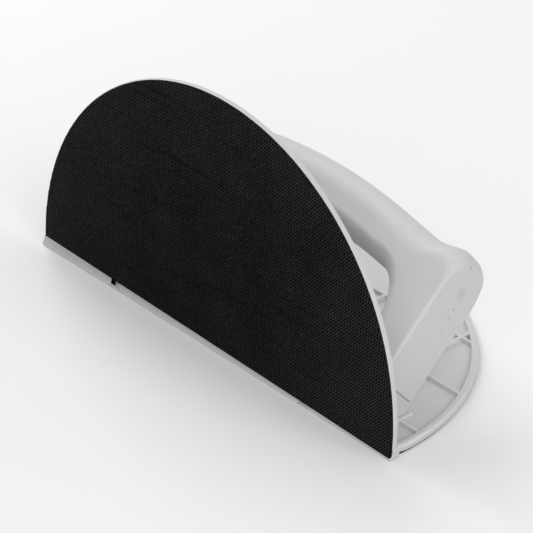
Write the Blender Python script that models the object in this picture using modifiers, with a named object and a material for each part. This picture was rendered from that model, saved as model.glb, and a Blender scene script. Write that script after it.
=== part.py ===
"""Half-round sanding block for inside corners: two half-disc plates in a right angle with a shared handle.

The base plate lies flat and the front plate stands up from it. X runs along the corner, +Y runs from the
corner along the base plate and +Z up the front plate. The handle stands in the plane halfway between them.
The origin is the middle of the footprint, on the floor.
"""
import math

import bmesh
import bpy
from mathutils import Matrix, Vector

# Plates, in metres: depth is counted inwards from the outer face of the hook pads
plate_radius = 0.1125
front_arc_centre = 0.0069
base_arc_centre = 0.0108
pad_thickness = 0.0010
slab_thickness = 0.0014
floor_thickness = 0.0010
rim_height = 0.0018
rim_width = 0.0035
rim_chamfer = 0.0005
rib_width = 0.0014
rib_drop = 0.0002
rib_count = 3
first_rib_place = 0.0210
rib_pitch = 0.0343
cross_rib_count = 4
cross_rib_pitch = 0.0462
slab_edge_place = 0.0053
rib_start_place = 0.0057
corner_inset = 0.0008

# Nose bar along the corner, in three lengths with notches between them
nose_slope_length = 0.0030
nose_hook_length = 0.0050
nose_root_length = 0.0070
nose_root_step = 0.0003
nose_tip_radius = 0.0005
nose_tip_start = math.radians(160)
nose_tip_sweep = math.radians(130)
notch_place_share = 0.549
notch_width = 0.0030
nose_overhang = 0.0008
nose_end_rounding = 0.0008
notch_rounding = 0.0018
nose_end_share = 0.55

# Hook pads
front_pad_edge_place = 0.0033
front_pad_skew = 0.0206
base_pad_edge_place = 0.0056

# Handle: height is counted from the corner, in the plane halfway between the plates, and what
# is called from_end is counted inwards from the leg's end face
leg_end_from_rim = 0.0154
grip_crest = 0.0992
grip_arch_radius = 0.2550
grip_thickness = 0.02456
grip_half_width = 0.0145
grip_zone_from_end = 0.0451
horn_lift = 0.0060
horn_start_from_end = 0.0166
horn_peak_from_end = 0.0021
horn_overhang = 0.0002
horn_rounding = 0.0072
leg_zone_height = 0.0500
leg_half_width = 0.0151
leg_inner_half_width = 0.0122
leg_foot_thickness = 0.0139
opening_turn_from_end = 0.0386
opening_corner_from_end = 0.0239
opening_corner_rise = 0.0020
opening_leg_thickness = 0.0201
opening_turn_end_height = 0.0440
grip_top_radius = 0.0105
horn_top_radius = 0.0125
horn_share = 0.44
ridge_share = 0.74
grip_under_radius = 0.0112
grip_under_crease = math.radians(25)
leg_ridge_radius = 0.0022
leg_inner_radius = 0.0050
side_hollow_power = 2.2
shell_wall = 0.0026
least_inner_radius = 0.0008

# Leg brackets in the corner, each with a tongue up into its leg, and their seats on the plates
bracket_length = 0.0128
bracket_half_width = 0.0150
bracket_side_height = 0.0043
bracket_chamfer = 0.0030
tongue_from_end = 0.0042
tongue_thickness = 0.0068
tongue_half_width = 0.0072
tongue_rise = 0.0210
tongue_root = 0.0040
seat_overhang = 0.0015
seat_thickness = 0.0171
seat_length = 0.0285

# Screws
screw_shank_radius = 0.0015
screw_point_length = 0.0020
screw_head_radius = 0.0029
screw_head_height = 0.0013
screw_head_rounding = 0.0005
recess_width = 0.0009
recess_length = 0.0032
recess_depth = 0.0008
leg_screw_from_end = 0.0076
leg_screw_rise = 0.0140
turn_screw_from_end = 0.0171
turn_screw_cover = 0.0112
shell_screw_seat = 0.0088
shell_screw_reach = 0.0104
boss_radius = 0.0045
boss_skin = 0.0004
plate_screw_inner_from_end = 0.0103
plate_screw_outer_from_end = 0.0047
plate_screw_corner_margin = 0.0045
plate_screw_side_margin = 0.0052
plate_screw_cover = 0.0018

# Fit and fineness
gap = 0.0003
pad_gap = 0.0002
overrun = 0.0010
smooth_angle = math.radians(35)
rounded_angle = math.radians(50)
merge_distance = 0.00001
arc_steps = 60
turned_steps = 16
corner_steps = 4
cavity_corner_steps = 2
side_steps = 3
grip_steps = 5
turn_steps = 20
leg_steps = 2
path_samples = 24
nose_end_steps = 3
tip_steps = 4

half_turn = math.pi
quarter_turn = math.pi / 2
root_half = math.sqrt(0.5)
slab_top = pad_thickness + slab_thickness
floor_top = pad_thickness + floor_thickness
rim_top = slab_top + rim_height
seat_face = rim_top + gap
footprint_middle = (base_arc_centre + plate_radius) / 2
notch_place = plate_radius * notch_place_share

# Places along the corner that follow the plates, and heights that follow the brackets
leg_end = plate_radius - leg_end_from_rim
grip_zone_end = leg_end - grip_zone_from_end
horn_start = leg_end - horn_start_from_end
horn_peak = leg_end - horn_peak_from_end
opening_turn_start = leg_end - opening_turn_from_end
opening_corner = leg_end - opening_corner_from_end
opening_turn_end = leg_end - opening_leg_thickness
leg_foot_inner = leg_end - leg_foot_thickness
bracket_end = leg_end - gap
bracket_start = bracket_end - bracket_length
tongue_end = leg_end - tongue_from_end
tongue_start = tongue_end - tongue_thickness
seat_end = leg_end + seat_overhang
seat_start = seat_end - seat_thickness
leg_screw_place = leg_end - leg_screw_from_end
turn_screw_place = leg_end - turn_screw_from_end
side_difference = bracket_half_width / root_half
bracket_top = seat_face / root_half + bracket_half_width + bracket_side_height
top_sum = bracket_top / root_half
leg_foot_height = bracket_top + gap
tongue_height = leg_foot_height + tongue_rise
leg_screw_height = leg_foot_height + leg_screw_rise
boss_end = leg_inner_half_width - boss_skin
plate_screw_first = leg_end - plate_screw_inner_from_end
plate_screw_second = leg_end - plate_screw_outer_from_end
plate_screw_low = seat_face + bracket_chamfer + plate_screw_corner_margin
plate_screw_high = seat_face + side_difference - plate_screw_side_margin
plate_screw_reach = top_sum - plate_screw_high - plate_screw_cover
to_middle = Matrix.Translation(Vector((0, -footprint_middle, 0)))
flat = Matrix.Identity(4)
# Turns a plate that was laid out flat into the upright one
upright = Matrix(((-1, 0, 0, 0), (0, 0, 1, 0), (0, 1, 0, 0), (0, 0, 0, 1)))
# Turns an outline drawn across the corner so that its thickness runs along the corner
across_corner = Matrix(((0, 0, 1, 0), (1, 0, 0, 0), (0, 1, 0, 0), (0, 0, 0, 1)))


def clear_scene():
    for item in list(bpy.data.objects):
        bpy.data.objects.remove(item, do_unlink=True)


def make_collection(name):
    collection = bpy.data.collections.new(name)
    bpy.context.scene.collection.children.link(collection)
    return collection


def make_material(name, colour, roughness, metallic):
    material = bpy.data.materials.new(name)
    material.use_nodes = True
    shader = material.node_tree.nodes["Principled BSDF"]
    shader.inputs["Base Color"].default_value = (*colour, 1)
    shader.inputs["Roughness"].default_value = roughness
    shader.inputs["Metallic"].default_value = metallic
    material.diffuse_color = (*colour, 1)
    return material


def object_from(name, shape, collection):
    """Puts a bmesh in a new object of the collection."""
    bmesh.ops.recalc_face_normals(shape, faces=shape.faces)
    mesh = bpy.data.meshes.new(name)
    shape.to_mesh(mesh)
    shape.free()
    piece = bpy.data.objects.new(name, mesh)
    collection.objects.link(piece)
    return piece


def evaluated_mesh(piece):
    bpy.context.view_layer.update()
    return bpy.data.meshes.new_from_object(piece.evaluated_get(bpy.context.evaluated_depsgraph_get()))


def outline_piece(name, outline, low, high, collection):
    """A flat outline (x, y) filled and given thickness from low to high along z."""
    curve = bpy.data.curves.new(name, "CURVE")
    curve.dimensions = "2D"
    curve.fill_mode = "BOTH"
    curve.extrude = (high - low) / 2
    spline = curve.splines.new("POLY")
    spline.points.add(len(outline) - 1)
    for point, (x, y) in zip(spline.points, outline):
        point.co = (x, y, 0, 1)
    spline.use_cyclic_u = True
    drawn = bpy.data.objects.new(name + "_outline", curve)
    collection.objects.link(drawn)
    drawn.location.z = (low + high) / 2
    mesh = evaluated_mesh(drawn)
    mesh.transform(drawn.matrix_world)
    bpy.data.objects.remove(drawn, do_unlink=True)
    shape = bmesh.new()
    shape.from_mesh(mesh)
    bmesh.ops.remove_doubles(shape, verts=shape.verts, dist=merge_distance)
    return object_from(name, shape, collection)


def box_piece(name, low, high, collection):
    shape = bmesh.new()
    middle = (Vector(low) + Vector(high)) / 2
    size = Vector(high) - Vector(low)
    bmesh.ops.create_cube(shape, size=1, matrix=Matrix.Translation(middle) @ Matrix.Diagonal((*size, 1)))
    return object_from(name, shape, collection)


def rod_piece(name, radius, low, high, collection):
    """A cylinder along z from low to high."""
    shape = bmesh.new()
    middle = Matrix.Translation(Vector((0, 0, (low + high) / 2)))
    bmesh.ops.create_cone(
        shape,
        cap_ends=True,
        segments=turned_steps,
        radius1=radius,
        radius2=radius,
        depth=high - low,
        matrix=middle,
    )
    return object_from(name, shape, collection)


def turned_piece(name, profile, collection):
    """A profile of (radius, height) points from top to bottom, turned about z."""
    mesh = bpy.data.meshes.new(name)
    edges = [(index, index + 1) for index in range(len(profile) - 1)]
    mesh.from_pydata([(radius, 0, height) for radius, height in profile], edges, [])
    piece = bpy.data.objects.new(name, mesh)
    collection.objects.link(piece)
    turn = piece.modifiers.new("turn", "SCREW")
    turn.steps = turned_steps
    turn.render_steps = turned_steps
    turn.use_merge_vertices = True
    turn.merge_threshold = merge_distance
    return piece


def loft_piece(name, rings, collection):
    """Joins closed rings of equal length, each to the next, and closes both ends."""
    shape = bmesh.new()
    rows = [[shape.verts.new(point) for point in ring] for ring in rings]
    for row, after in zip(rows, rows[1:]):
        for index, corner in enumerate(row):
            follow = (index + 1) % len(row)
            shape.faces.new((corner, row[follow], after[follow], after[index]))
    shape.faces.new(rows[0])
    shape.faces.new(list(reversed(rows[-1])))
    return object_from(name, shape, collection)


def move_mesh(piece, placing):
    """Moves the mesh itself, and keeps its faces pointing out where the placing mirrors it."""
    piece.data.transform(placing)
    if placing.determinant() < 0:
        piece.data.flip_normals()
    return piece


def combine(piece, tool, operation, cutters):
    """Adds a Boolean to the piece and keeps its tool among the cutters."""
    boolean = piece.modifiers.new(tool.name, "BOOLEAN")
    boolean.operation = operation
    boolean.solver = "EXACT"
    boolean.object = tool
    for home in list(tool.users_collection):
        home.objects.unlink(tool)
    cutters.objects.link(tool)
    tool.hide_render = True
    tool.display_type = "WIRE"


def finish(piece, material, placing):
    """Gives a piece its final mesh, material, smooth shading and place."""
    mesh = evaluated_mesh(piece)
    piece.modifiers.clear()
    piece.data = mesh
    move_mesh(piece, placing)
    mesh.materials.clear()
    mesh.materials.append(material)
    mesh.shade_smooth()
    mesh.set_sharp_from_angle(angle=smooth_angle)


def arc_points(centre_y, radius, start, end, steps):
    """Points on an arc about (0, centre_y), from one angle to another."""
    points = []
    for index in range(steps + 1):
        angle = start + (end - start) * index / steps
        points.append((radius * math.cos(angle), centre_y + radius * math.sin(angle)))
    return points


def half_disc_outline(arc_centre, radius, right_edge, left_edge):
    """A half disc whose lower edge runs between two places, with its ends drawn in a little."""
    arc = arc_points(arc_centre, radius, 0, half_turn, arc_steps)
    low_half = radius - corner_inset
    return [(low_half, right_edge)] + arc + [(-low_half, left_edge)]


def rib_boxes(arc_centre):
    """Low and high corners of the ribs inside a plate: some along the corner, some across."""
    low_level = pad_thickness
    high_level = rim_top - rib_drop
    half = rib_width / 2
    boxes = []
    for index in range(rib_count):
        place = first_rib_place + index * rib_pitch
        side = math.sqrt(plate_radius ** 2 - (place - arc_centre) ** 2)
        boxes.append(((-side, place - half, low_level), (side, place + half, high_level)))
    for index in range(cross_rib_count):
        along = (index - (cross_rib_count - 1) / 2) * cross_rib_pitch
        far = arc_centre + math.sqrt(plate_radius ** 2 - along ** 2)
        boxes.append(((along - half, rib_start_place, low_level), (along + half, far, high_level)))
    return boxes


def nose_section():
    """Section (place, depth) of the nose bar: a beak outside the corner and a hook behind the other plate."""
    section = []
    for index in range(tip_steps + 1):
        angle = nose_tip_start + nose_tip_sweep * index / tip_steps
        place = nose_tip_radius * (1 + math.cos(angle))
        depth = nose_tip_radius * (1 + math.sin(angle))
        section.append((place, depth))
    hook_top = slab_top - rib_drop
    root_level = pad_thickness + nose_root_step
    section.append((nose_slope_length, pad_thickness))
    section.append((slab_edge_place, root_level))
    section.append((nose_root_length, root_level))
    section.append((nose_root_length, hook_top))
    section.append((hook_top, hook_top))
    section.append((hook_top, nose_hook_length))
    section.append((pad_thickness, nose_hook_length))
    section.append((pad_thickness, nose_slope_length))
    return section


def nose_piece(name, start, start_rounding, end, end_rounding, collection):
    """One length of the nose bar, drawn in towards its root at both rounded ends."""
    stations = []
    for index in range(nose_end_steps + 1):
        angle = quarter_turn * index / nose_end_steps
        share = nose_end_share + (1 - nose_end_share) * math.sin(angle)
        stations.append((start + start_rounding * (1 - math.cos(angle)), share))
    for index in range(nose_end_steps + 1):
        angle = quarter_turn * index / nose_end_steps
        share = nose_end_share + (1 - nose_end_share) * math.cos(angle)
        stations.append((end - end_rounding * (1 - math.sin(angle)), share))
    rings = []
    for along, share in stations:
        ring = []
        for place, depth in nose_section():
            ring.append((along, slab_top + (place - slab_top) * share, slab_top + (depth - slab_top) * share))
        rings.append(ring)
    return loft_piece(name, rings, collection)


def plate_screw_spots(near_is_low):
    """Spots (along, place) of the four screws that hold the brackets to one plate."""
    near, far = (plate_screw_low, plate_screw_high) if near_is_low else (plate_screw_high, plate_screw_low)
    spots = []
    for side in (-1, 1):
        spots.append((side * plate_screw_first, near))
        spots.append((side * plate_screw_second, far))
    return spots


def make_plate(name, arc_centre, owns_middle, near_is_low, parts, cutters):
    """A plate laid out flat: rim, floor, ribs, bracket seats, its lengths of the nose bar and its holes."""
    outline = half_disc_outline(arc_centre, plate_radius, slab_edge_place, slab_edge_place)
    plate = outline_piece(name, outline, pad_thickness, rim_top, parts)
    bevel = plate.modifiers.new("rim_chamfer", "BEVEL")
    bevel.width = rim_chamfer
    bevel.segments = 1
    bevel.limit_method = "ANGLE"
    bevel.angle_limit = rounded_angle
    open_edge = slab_edge_place - overrun
    hollow_outline = half_disc_outline(arc_centre, plate_radius - rim_width, open_edge, open_edge)
    hollow = outline_piece(name + "_hollow", hollow_outline, floor_top, rim_top + overrun, cutters)
    for index, (low, high) in enumerate(rib_boxes(arc_centre)):
        combine(hollow, box_piece(f"{name}_rib_{index}", low, high, cutters), "DIFFERENCE", cutters)
    for side in (-1, 1):
        ends = sorted((side * seat_start, side * seat_end))
        low = (ends[0], rib_start_place, pad_thickness)
        high = (ends[1], seat_length, rim_top)
        combine(hollow, box_piece(f"{name}_seat_{side}", low, high, cutters), "DIFFERENCE", cutters)
    combine(plate, hollow, "DIFFERENCE", cutters)
    if owns_middle:
        half = notch_place - notch_width / 2
        nose = nose_piece(name + "_nose", -half, notch_rounding, half, notch_rounding, cutters)
        combine(plate, nose, "UNION", cutters)
    else:
        for side in (-1, 1):
            start = notch_place + notch_width / 2
            end = plate_radius + nose_overhang
            nose = nose_piece(f"{name}_nose_{side}", start, notch_rounding, end, nose_end_rounding, cutters)
            combine(plate, move_mesh(nose, Matrix.Diagonal((side, 1, 1, 1))), "UNION", cutters)
    sink_top = pad_thickness + screw_head_height + gap
    for index, (along, place) in enumerate(plate_screw_spots(near_is_low)):
        spot = Matrix.Translation(Vector((along, place, 0)))
        hole = rod_piece(f"{name}_hole_{index}", screw_shank_radius + gap, 0, rim_top + overrun, cutters)
        combine(plate, move_mesh(hole, spot), "DIFFERENCE", cutters)
        sink = rod_piece(f"{name}_sink_{index}", screw_head_radius + gap, 0, sink_top, cutters)
        combine(plate, move_mesh(sink, spot), "DIFFERENCE", cutters)
    return plate


def make_pad(name, arc_centre, edge_place, skew, parts, cutters):
    """A hook pad laid out flat, thinned where it laps over the slope of the nose bar."""
    drift = skew * (plate_radius - corner_inset)
    outline = half_disc_outline(arc_centre, plate_radius, edge_place + drift, edge_place - drift)
    pad = outline_piece(name, outline, 0, pad_thickness - pad_gap, parts)
    rise = pad_thickness / nose_slope_length
    low = -overrun * rise - pad_gap
    high = pad_thickness + overrun
    wedge = [(-overrun, low), ((high + pad_gap) / rise, high), (-overrun, high)]
    reach = plate_radius + overrun
    rings = [[(along, place, depth) for place, depth in wedge] for along in (-reach, reach)]
    combine(pad, loft_piece(name + "_slope", rings, cutters), "DIFFERENCE", cutters)
    return pad


def blend(first, second, share):
    return first + (second - first) * share


def eased(share):
    """A share kept between 0 and 1 that starts and ends gently."""
    kept = min(1, max(0, share))
    return kept ** 2 * (3 - 2 * kept)


def arch_height(along):
    """Height of the grip's top over a spot along the corner: an arch that runs on straight past the grip."""
    bent = min(along, grip_zone_end)
    return grip_crest - bent * (2 * along - bent) / (2 * grip_arch_radius)


def top_height(along):
    """The arch with the horn's rise added near its end."""
    return arch_height(along) + horn_lift * eased((along - horn_start) / (horn_peak - horn_start))


def outer_turn_path():
    """The outside of the handle from the end of the grip over the horn and down the leg's end face."""
    shoulder = leg_end + horn_overhang - horn_rounding
    path = []
    for index in range(path_samples + 1):
        along = grip_zone_end + (shoulder - grip_zone_end) * index / path_samples
        path.append((along, top_height(along)))
    centre = path[-1][1] - horn_rounding
    for index in range(1, path_samples // 2 + 1):
        angle = quarter_turn * (1 - 2 * index / path_samples)
        path.append((shoulder + horn_rounding * math.cos(angle), centre + horn_rounding * math.sin(angle)))
    path.append((leg_end, leg_zone_height))
    return path


def inner_turn_path():
    """The rounded upper corner of the hand opening."""
    first = (opening_turn_start, arch_height(opening_turn_start) - grip_thickness)
    corner_height = arch_height(opening_corner) - grip_thickness + opening_corner_rise
    corner = (opening_corner, corner_height)
    last = (opening_turn_end, opening_turn_end_height)
    path = []
    for index in range(path_samples + 1):
        share = index / path_samples
        before = [blend(a, b, share) for a, b in zip(first, corner)]
        after = [blend(a, b, share) for a, b in zip(corner, last)]
        path.append(tuple(blend(a, b, share) for a, b in zip(before, after)))
    return path


def even_points(path, steps):
    """Splits a path into equal lengths and returns its steps + 1 points."""
    lengths = [0]
    for before, after in zip(path, path[1:]):
        lengths.append(lengths[-1] + math.dist(before, after))
    points = []
    index = 0
    for step in range(steps + 1):
        wanted = lengths[-1] * step / steps
        while index < len(path) - 2 and lengths[index + 1] < wanted:
            index += 1
        share = min(1, (wanted - lengths[index]) / (lengths[index + 1] - lengths[index]))
        points.append(tuple(a + (b - a) * share for a, b in zip(path[index], path[index + 1])))
    return points


def half_stations():
    """Outer and inner points from the grip's middle to a foot, each with its share of leg shape and radius."""
    stations = []
    for index in range(grip_steps):
        share = index / grip_steps
        outer = grip_zone_end * share
        inner = opening_turn_start * share
        inner_height = arch_height(inner) - grip_thickness
        stations.append(((outer, arch_height(outer)), (inner, inner_height), 0, grip_top_radius))
    outer_turn = even_points(outer_turn_path(), turn_steps)
    inner_turn = even_points(inner_turn_path(), turn_steps)
    for index, (outer, inner) in enumerate(zip(outer_turn, inner_turn)):
        share = index / turn_steps
        stations.append((outer, inner, eased(share), outer_corner_radius(share)))
    for index in range(1, leg_steps + 1):
        share = index / leg_steps
        outer = (leg_end, leg_zone_height + (leg_foot_height - leg_zone_height) * share)
        along = opening_turn_end + (leg_foot_inner - opening_turn_end) * share
        height = opening_turn_end_height + (leg_foot_height - opening_turn_end_height) * share
        stations.append((outer, (along, height), 1, leg_ridge_radius))
    return stations


def outer_corner_radius(share):
    """Radius of the handle's outer corners: round over the horn and a ridge down the leg."""
    if share < horn_share:
        return blend(grip_top_radius, horn_top_radius, eased(share / horn_share))
    return blend(horn_top_radius, leg_ridge_radius, eased((share - horn_share) / (ridge_share - horn_share)))


def half_profile(thickness, leg_share, corner_radius, inset, steps):
    """One side of the handle's section as (across, up) points, from the outer to the inner contour."""
    outer_half = blend(grip_half_width, leg_half_width, leg_share) - inset
    inner_half = blend(grip_half_width, leg_inner_half_width, leg_share) - inset
    outer_radius = max(corner_radius - inset, least_inner_radius)
    inner_radius = max(blend(grip_under_radius, leg_inner_radius, leg_share) - inset, least_inner_radius)
    crease = blend(grip_under_crease, 0, leg_share)
    round_start = inner_radius * (1 - math.sin(crease))
    round_middle = outer_half - inner_radius * math.cos(crease)
    depth = thickness - 2 * inset
    points = [(gap / 2, depth)]
    for index in range(steps + 1):
        angle = quarter_turn * (1 - index / steps)
        across = outer_half - outer_radius + outer_radius * math.cos(angle)
        points.append((across, depth - outer_radius + outer_radius * math.sin(angle)))
    for index in range(1, side_steps):
        points.append((outer_half, blend(depth - outer_radius, round_start, index / side_steps)))
    for index in range(steps + 1):
        angle = blend(-crease, -quarter_turn, index / steps)
        across = round_middle + inner_radius * math.cos(angle)
        points.append((across, inner_radius + inner_radius * math.sin(angle)))
    points.append((gap / 2, 0))
    shaped = []
    for across, up in points:
        narrowed = blend(inner_half, outer_half, (up / depth) ** side_hollow_power)
        width = across if across <= gap else across * narrowed / outer_half
        shaped.append((width, up + inset))
    return shaped


def shell_ring(station, side, towards_base):
    """The closed section of one shell wall at one station, in corner coordinates."""
    outer, inner, leg_share, corner_radius = station
    thickness = math.dist(outer, inner)
    skin = half_profile(thickness, leg_share, corner_radius, 0, corner_steps)
    cavity = half_profile(thickness, leg_share, corner_radius, shell_wall, cavity_corner_steps)
    ring = []
    for across, up in skin + list(reversed(cavity)):
        along = side * blend(inner[0], outer[0], up / thickness)
        height = blend(inner[1], outer[1], up / thickness)
        shift = towards_base * across
        ring.append((along, root_half * (height + shift), root_half * (height - shift)))
    return ring


def halfway_frame(along, height):
    """A frame on the plane halfway between the plates, with z pointing to the base plate's side."""
    turn = Matrix(((1, 0, 0), (0, -root_half, root_half), (0, -root_half, -root_half))).to_4x4()
    return Matrix.Translation(Vector((along, root_half * height, root_half * height))) @ turn


def shell_screw_spots():
    """Spots (along, height) of the screws that join the two shells."""
    turn_screw_height = arch_height(turn_screw_place) - turn_screw_cover
    spots = []
    for side in (-1, 1):
        spots.append((side * leg_screw_place, leg_screw_height))
        spots.append((side * turn_screw_place, turn_screw_height))
    return spots


def make_shell(name, towards_base, parts, cutters):
    """One half of the hollow handle, with screw bosses and their holes."""
    half = half_stations()
    rings = [shell_ring(station, -1, towards_base) for station in reversed(half[1:])]
    rings += [shell_ring(station, 1, towards_base) for station in half]
    shell = loft_piece(name, rings, parts)
    hole_radius = screw_shank_radius + gap
    for index, (along, height) in enumerate(shell_screw_spots()):
        frame = halfway_frame(along, height)
        boss_start = tongue_half_width + gap if height == leg_screw_height else gap / 2
        low, high = sorted((towards_base * boss_start, towards_base * boss_end))
        boss = rod_piece(f"{name}_boss_{index}", boss_radius, low, high, cutters)
        combine(shell, move_mesh(boss, frame), "UNION", cutters)
    sink_end = leg_half_width + overrun
    if towards_base > 0:
        hole_low, hole_high = -overrun, shell_screw_seat + overrun
    else:
        hole_low, hole_high = -shell_screw_reach - 2 * gap, overrun
    for index, (along, height) in enumerate(shell_screw_spots()):
        frame = halfway_frame(along, height)
        if towards_base > 0:
            sink_name = f"{name}_sink_{index}"
            sink = rod_piece(sink_name, screw_head_radius + gap, shell_screw_seat, sink_end, cutters)
            combine(shell, move_mesh(sink, frame), "DIFFERENCE", cutters)
        hole = rod_piece(f"{name}_hole_{index}", hole_radius, hole_low, hole_high, cutters)
        combine(shell, move_mesh(hole, frame), "DIFFERENCE", cutters)
    return shell


def bracket_outline():
    """Section (y, z) of a leg bracket: it fills the corner up to the foot of the leg."""
    low_end = seat_face + side_difference
    high_end = (top_sum + side_difference) / 2
    corner_start = seat_face + bracket_chamfer
    lower_half = [(corner_start, seat_face), (low_end, seat_face), (high_end, top_sum - high_end)]
    upper_half = [(z, y) for y, z in reversed(lower_half)]
    return lower_half + upper_half


def make_bracket(name, parts, cutters):
    """The right bracket: a wedge in the corner with a tongue for the leg, drilled for its screws."""
    wedge = outline_piece(name, bracket_outline(), bracket_start, bracket_end, parts)
    move_mesh(wedge, across_corner)
    low = (tongue_start, -tongue_height, -tongue_half_width)
    high = (tongue_end, tongue_root - leg_foot_height, tongue_half_width)
    tongue = box_piece(name + "_tongue", low, high, cutters)
    combine(wedge, move_mesh(tongue, halfway_frame(0, 0)), "UNION", cutters)
    hole_radius = screw_shank_radius + gap
    frame = halfway_frame(leg_screw_place, leg_screw_height)
    leg_hole = rod_piece(name + "_leg_hole", hole_radius, -leg_half_width, leg_half_width, cutters)
    combine(wedge, move_mesh(leg_hole, frame), "DIFFERENCE", cutters)
    for plate, near_is_low, turn, side in (("base", True, flat, 1), ("front", False, upright, -1)):
        for index, (along, place) in enumerate(plate_screw_spots(near_is_low)[2:]):
            hole_end = plate_screw_reach + 2 * gap
            hole = rod_piece(f"{name}_{plate}_hole_{index}", hole_radius, rim_top, hole_end, cutters)
            spot = turn @ Matrix.Translation(Vector((side * along, place, 0)))
            combine(wedge, move_mesh(hole, spot), "DIFFERENCE", cutters)
    return wedge


def screw_mesh(name, length, cutters):
    """A pan-head screw with a cross recess, its head standing on z = 0 and its point down."""
    profile = [
        (0, screw_head_height),
        (screw_head_radius - screw_head_rounding, screw_head_height),
        (screw_head_radius, screw_head_height - screw_head_rounding),
        (screw_head_radius, 0),
        (screw_shank_radius, 0),
        (screw_shank_radius, screw_point_length - length),
        (0, -length),
    ]
    screw = turned_piece(name, profile, cutters)
    low_level = screw_head_height - recess_depth
    for index, (half_x, half_y) in enumerate(((recess_length, recess_width), (recess_width, recess_length))):
        low = (-half_x / 2, -half_y / 2, low_level)
        high = (half_x / 2, half_y / 2, screw_head_height + overrun)
        combine(screw, box_piece(f"{name}_recess_{index}", low, high, cutters), "DIFFERENCE", cutters)
    mesh = evaluated_mesh(screw)
    bpy.data.objects.remove(screw, do_unlink=True)
    return mesh


def place_screw(name, mesh, placing, material, parts):
    """One screw: its own object with its own place."""
    screw = bpy.data.objects.new(name, mesh)
    parts.objects.link(screw)
    screw.matrix_world = to_middle @ placing
    if not mesh.materials:
        mesh.materials.append(material)
        mesh.shade_smooth()
        mesh.set_sharp_from_angle(angle=smooth_angle)


def main():
    clear_scene()
    parts = make_collection("half_round_sanding_block")
    cutters = make_collection("cutters")
    plate_plastic = make_material("plate_plastic", (0.60, 0.60, 0.59), 0.45, 0)
    handle_plastic = make_material("handle_plastic", (0.60, 0.60, 0.58), 0.42, 0)
    bracket_plastic = make_material("bracket_plastic", (0.58, 0.58, 0.57), 0.5, 0)
    hook_fabric = make_material("hook_fabric", (0.018, 0.017, 0.016), 0.95, 0)
    screw_steel = make_material("screw_steel", (0.55, 0.55, 0.54), 0.35, 1)

    base = make_plate("base_plate", base_arc_centre, False, True, parts, cutters)
    finish(base, plate_plastic, to_middle)
    front = make_plate("front_plate", front_arc_centre, True, False, parts, cutters)
    finish(front, plate_plastic, to_middle @ upright)
    base_pad = make_pad("base_hook_pad", base_arc_centre, base_pad_edge_place, 0, parts, cutters)
    finish(base_pad, hook_fabric, to_middle)
    front_pad = make_pad("front_hook_pad", front_arc_centre, front_pad_edge_place, front_pad_skew, parts, cutters)
    finish(front_pad, hook_fabric, to_middle @ upright)

    finish(make_shell("handle_base_shell", 1, parts, cutters), handle_plastic, to_middle)
    finish(make_shell("handle_front_shell", -1, parts, cutters), handle_plastic, to_middle)
    for name, side in (("left_leg_bracket", -1), ("right_leg_bracket", 1)):
        bracket = make_bracket(name, parts, cutters)
        finish(bracket, bracket_plastic, to_middle @ Matrix.Diagonal((side, 1, 1, 1)))

    shell_screw = screw_mesh("shell_screw", shell_screw_seat + shell_screw_reach, cutters)
    for index, (along, height) in enumerate(shell_screw_spots()):
        placing = halfway_frame(along, height) @ Matrix.Translation(Vector((0, 0, shell_screw_seat + gap)))
        place_screw(f"shell_screw_{index + 1}", shell_screw, placing, screw_steel, parts)
    head_level = pad_thickness + screw_head_height
    plate_screw = screw_mesh("plate_screw", plate_screw_reach - head_level, cutters)
    head_out = Matrix.Rotation(half_turn, 4, "X")
    for name, near_is_low, turn in (("base", True, flat), ("front", False, upright)):
        for index, (along, place) in enumerate(plate_screw_spots(near_is_low)):
            placing = turn @ Matrix.Translation(Vector((along, place, head_level))) @ head_out
            place_screw(f"{name}_plate_screw_{index + 1}", plate_screw, placing, screw_steel, parts)


main()
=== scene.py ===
"""Half-round sanding block for inside corners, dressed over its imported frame.

Two half-disc plates of pale moulded plastic stand in a right angle, each with a dark hook pad outside, and
a hollow two-shell handle bridges the corner between them. X runs along the corner, +Y over the base plate
and +Z up the front plate. Every plate piece is first laid out flat as (along, place, depth): place is
counted from the corner and depth inwards from the outer face of the pads.
"""
import logging
import math
from dataclasses import dataclass, field
from enum import Enum
from typing import Any, Sequence

import bmesh
import bpy
from mathutils import Matrix, Vector


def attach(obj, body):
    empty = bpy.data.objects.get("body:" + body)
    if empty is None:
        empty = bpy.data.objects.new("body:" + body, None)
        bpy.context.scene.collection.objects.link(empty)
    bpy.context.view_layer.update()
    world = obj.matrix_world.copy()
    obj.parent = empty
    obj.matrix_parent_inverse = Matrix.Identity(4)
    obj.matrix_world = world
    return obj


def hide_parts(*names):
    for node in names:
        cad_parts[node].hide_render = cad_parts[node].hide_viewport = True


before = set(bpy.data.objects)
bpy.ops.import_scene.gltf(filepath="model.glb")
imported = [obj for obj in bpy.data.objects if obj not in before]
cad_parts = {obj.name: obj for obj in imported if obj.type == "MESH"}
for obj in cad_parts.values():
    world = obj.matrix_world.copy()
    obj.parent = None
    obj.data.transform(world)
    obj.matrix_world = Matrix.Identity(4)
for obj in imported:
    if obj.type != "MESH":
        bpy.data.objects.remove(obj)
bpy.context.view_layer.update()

BODY = "root"
QUARTER = math.pi / 2
ROOT_HALF = math.sqrt(0.5)
MERGE = 0.000005
# Bends per metre between which an outward edge goes from plain to fully lightened by wear and a painted
# highlight
SOFTEST_BEND = 300.0
SHARPEST_BEND = 2200.0
SHORTEST_SPAN = 0.00004
# Lengths round an eased edge, and how much more a large face counts for the shading of its edges
EDGE_STEPS = 3
FLAT_WEIGHT = 90
# Places along the corner of a plate's two screws on each side
INNER_SCREWS = 0.0868
OUTER_SCREWS = 0.0924

log = logging.getLogger("sanding_block")

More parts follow.
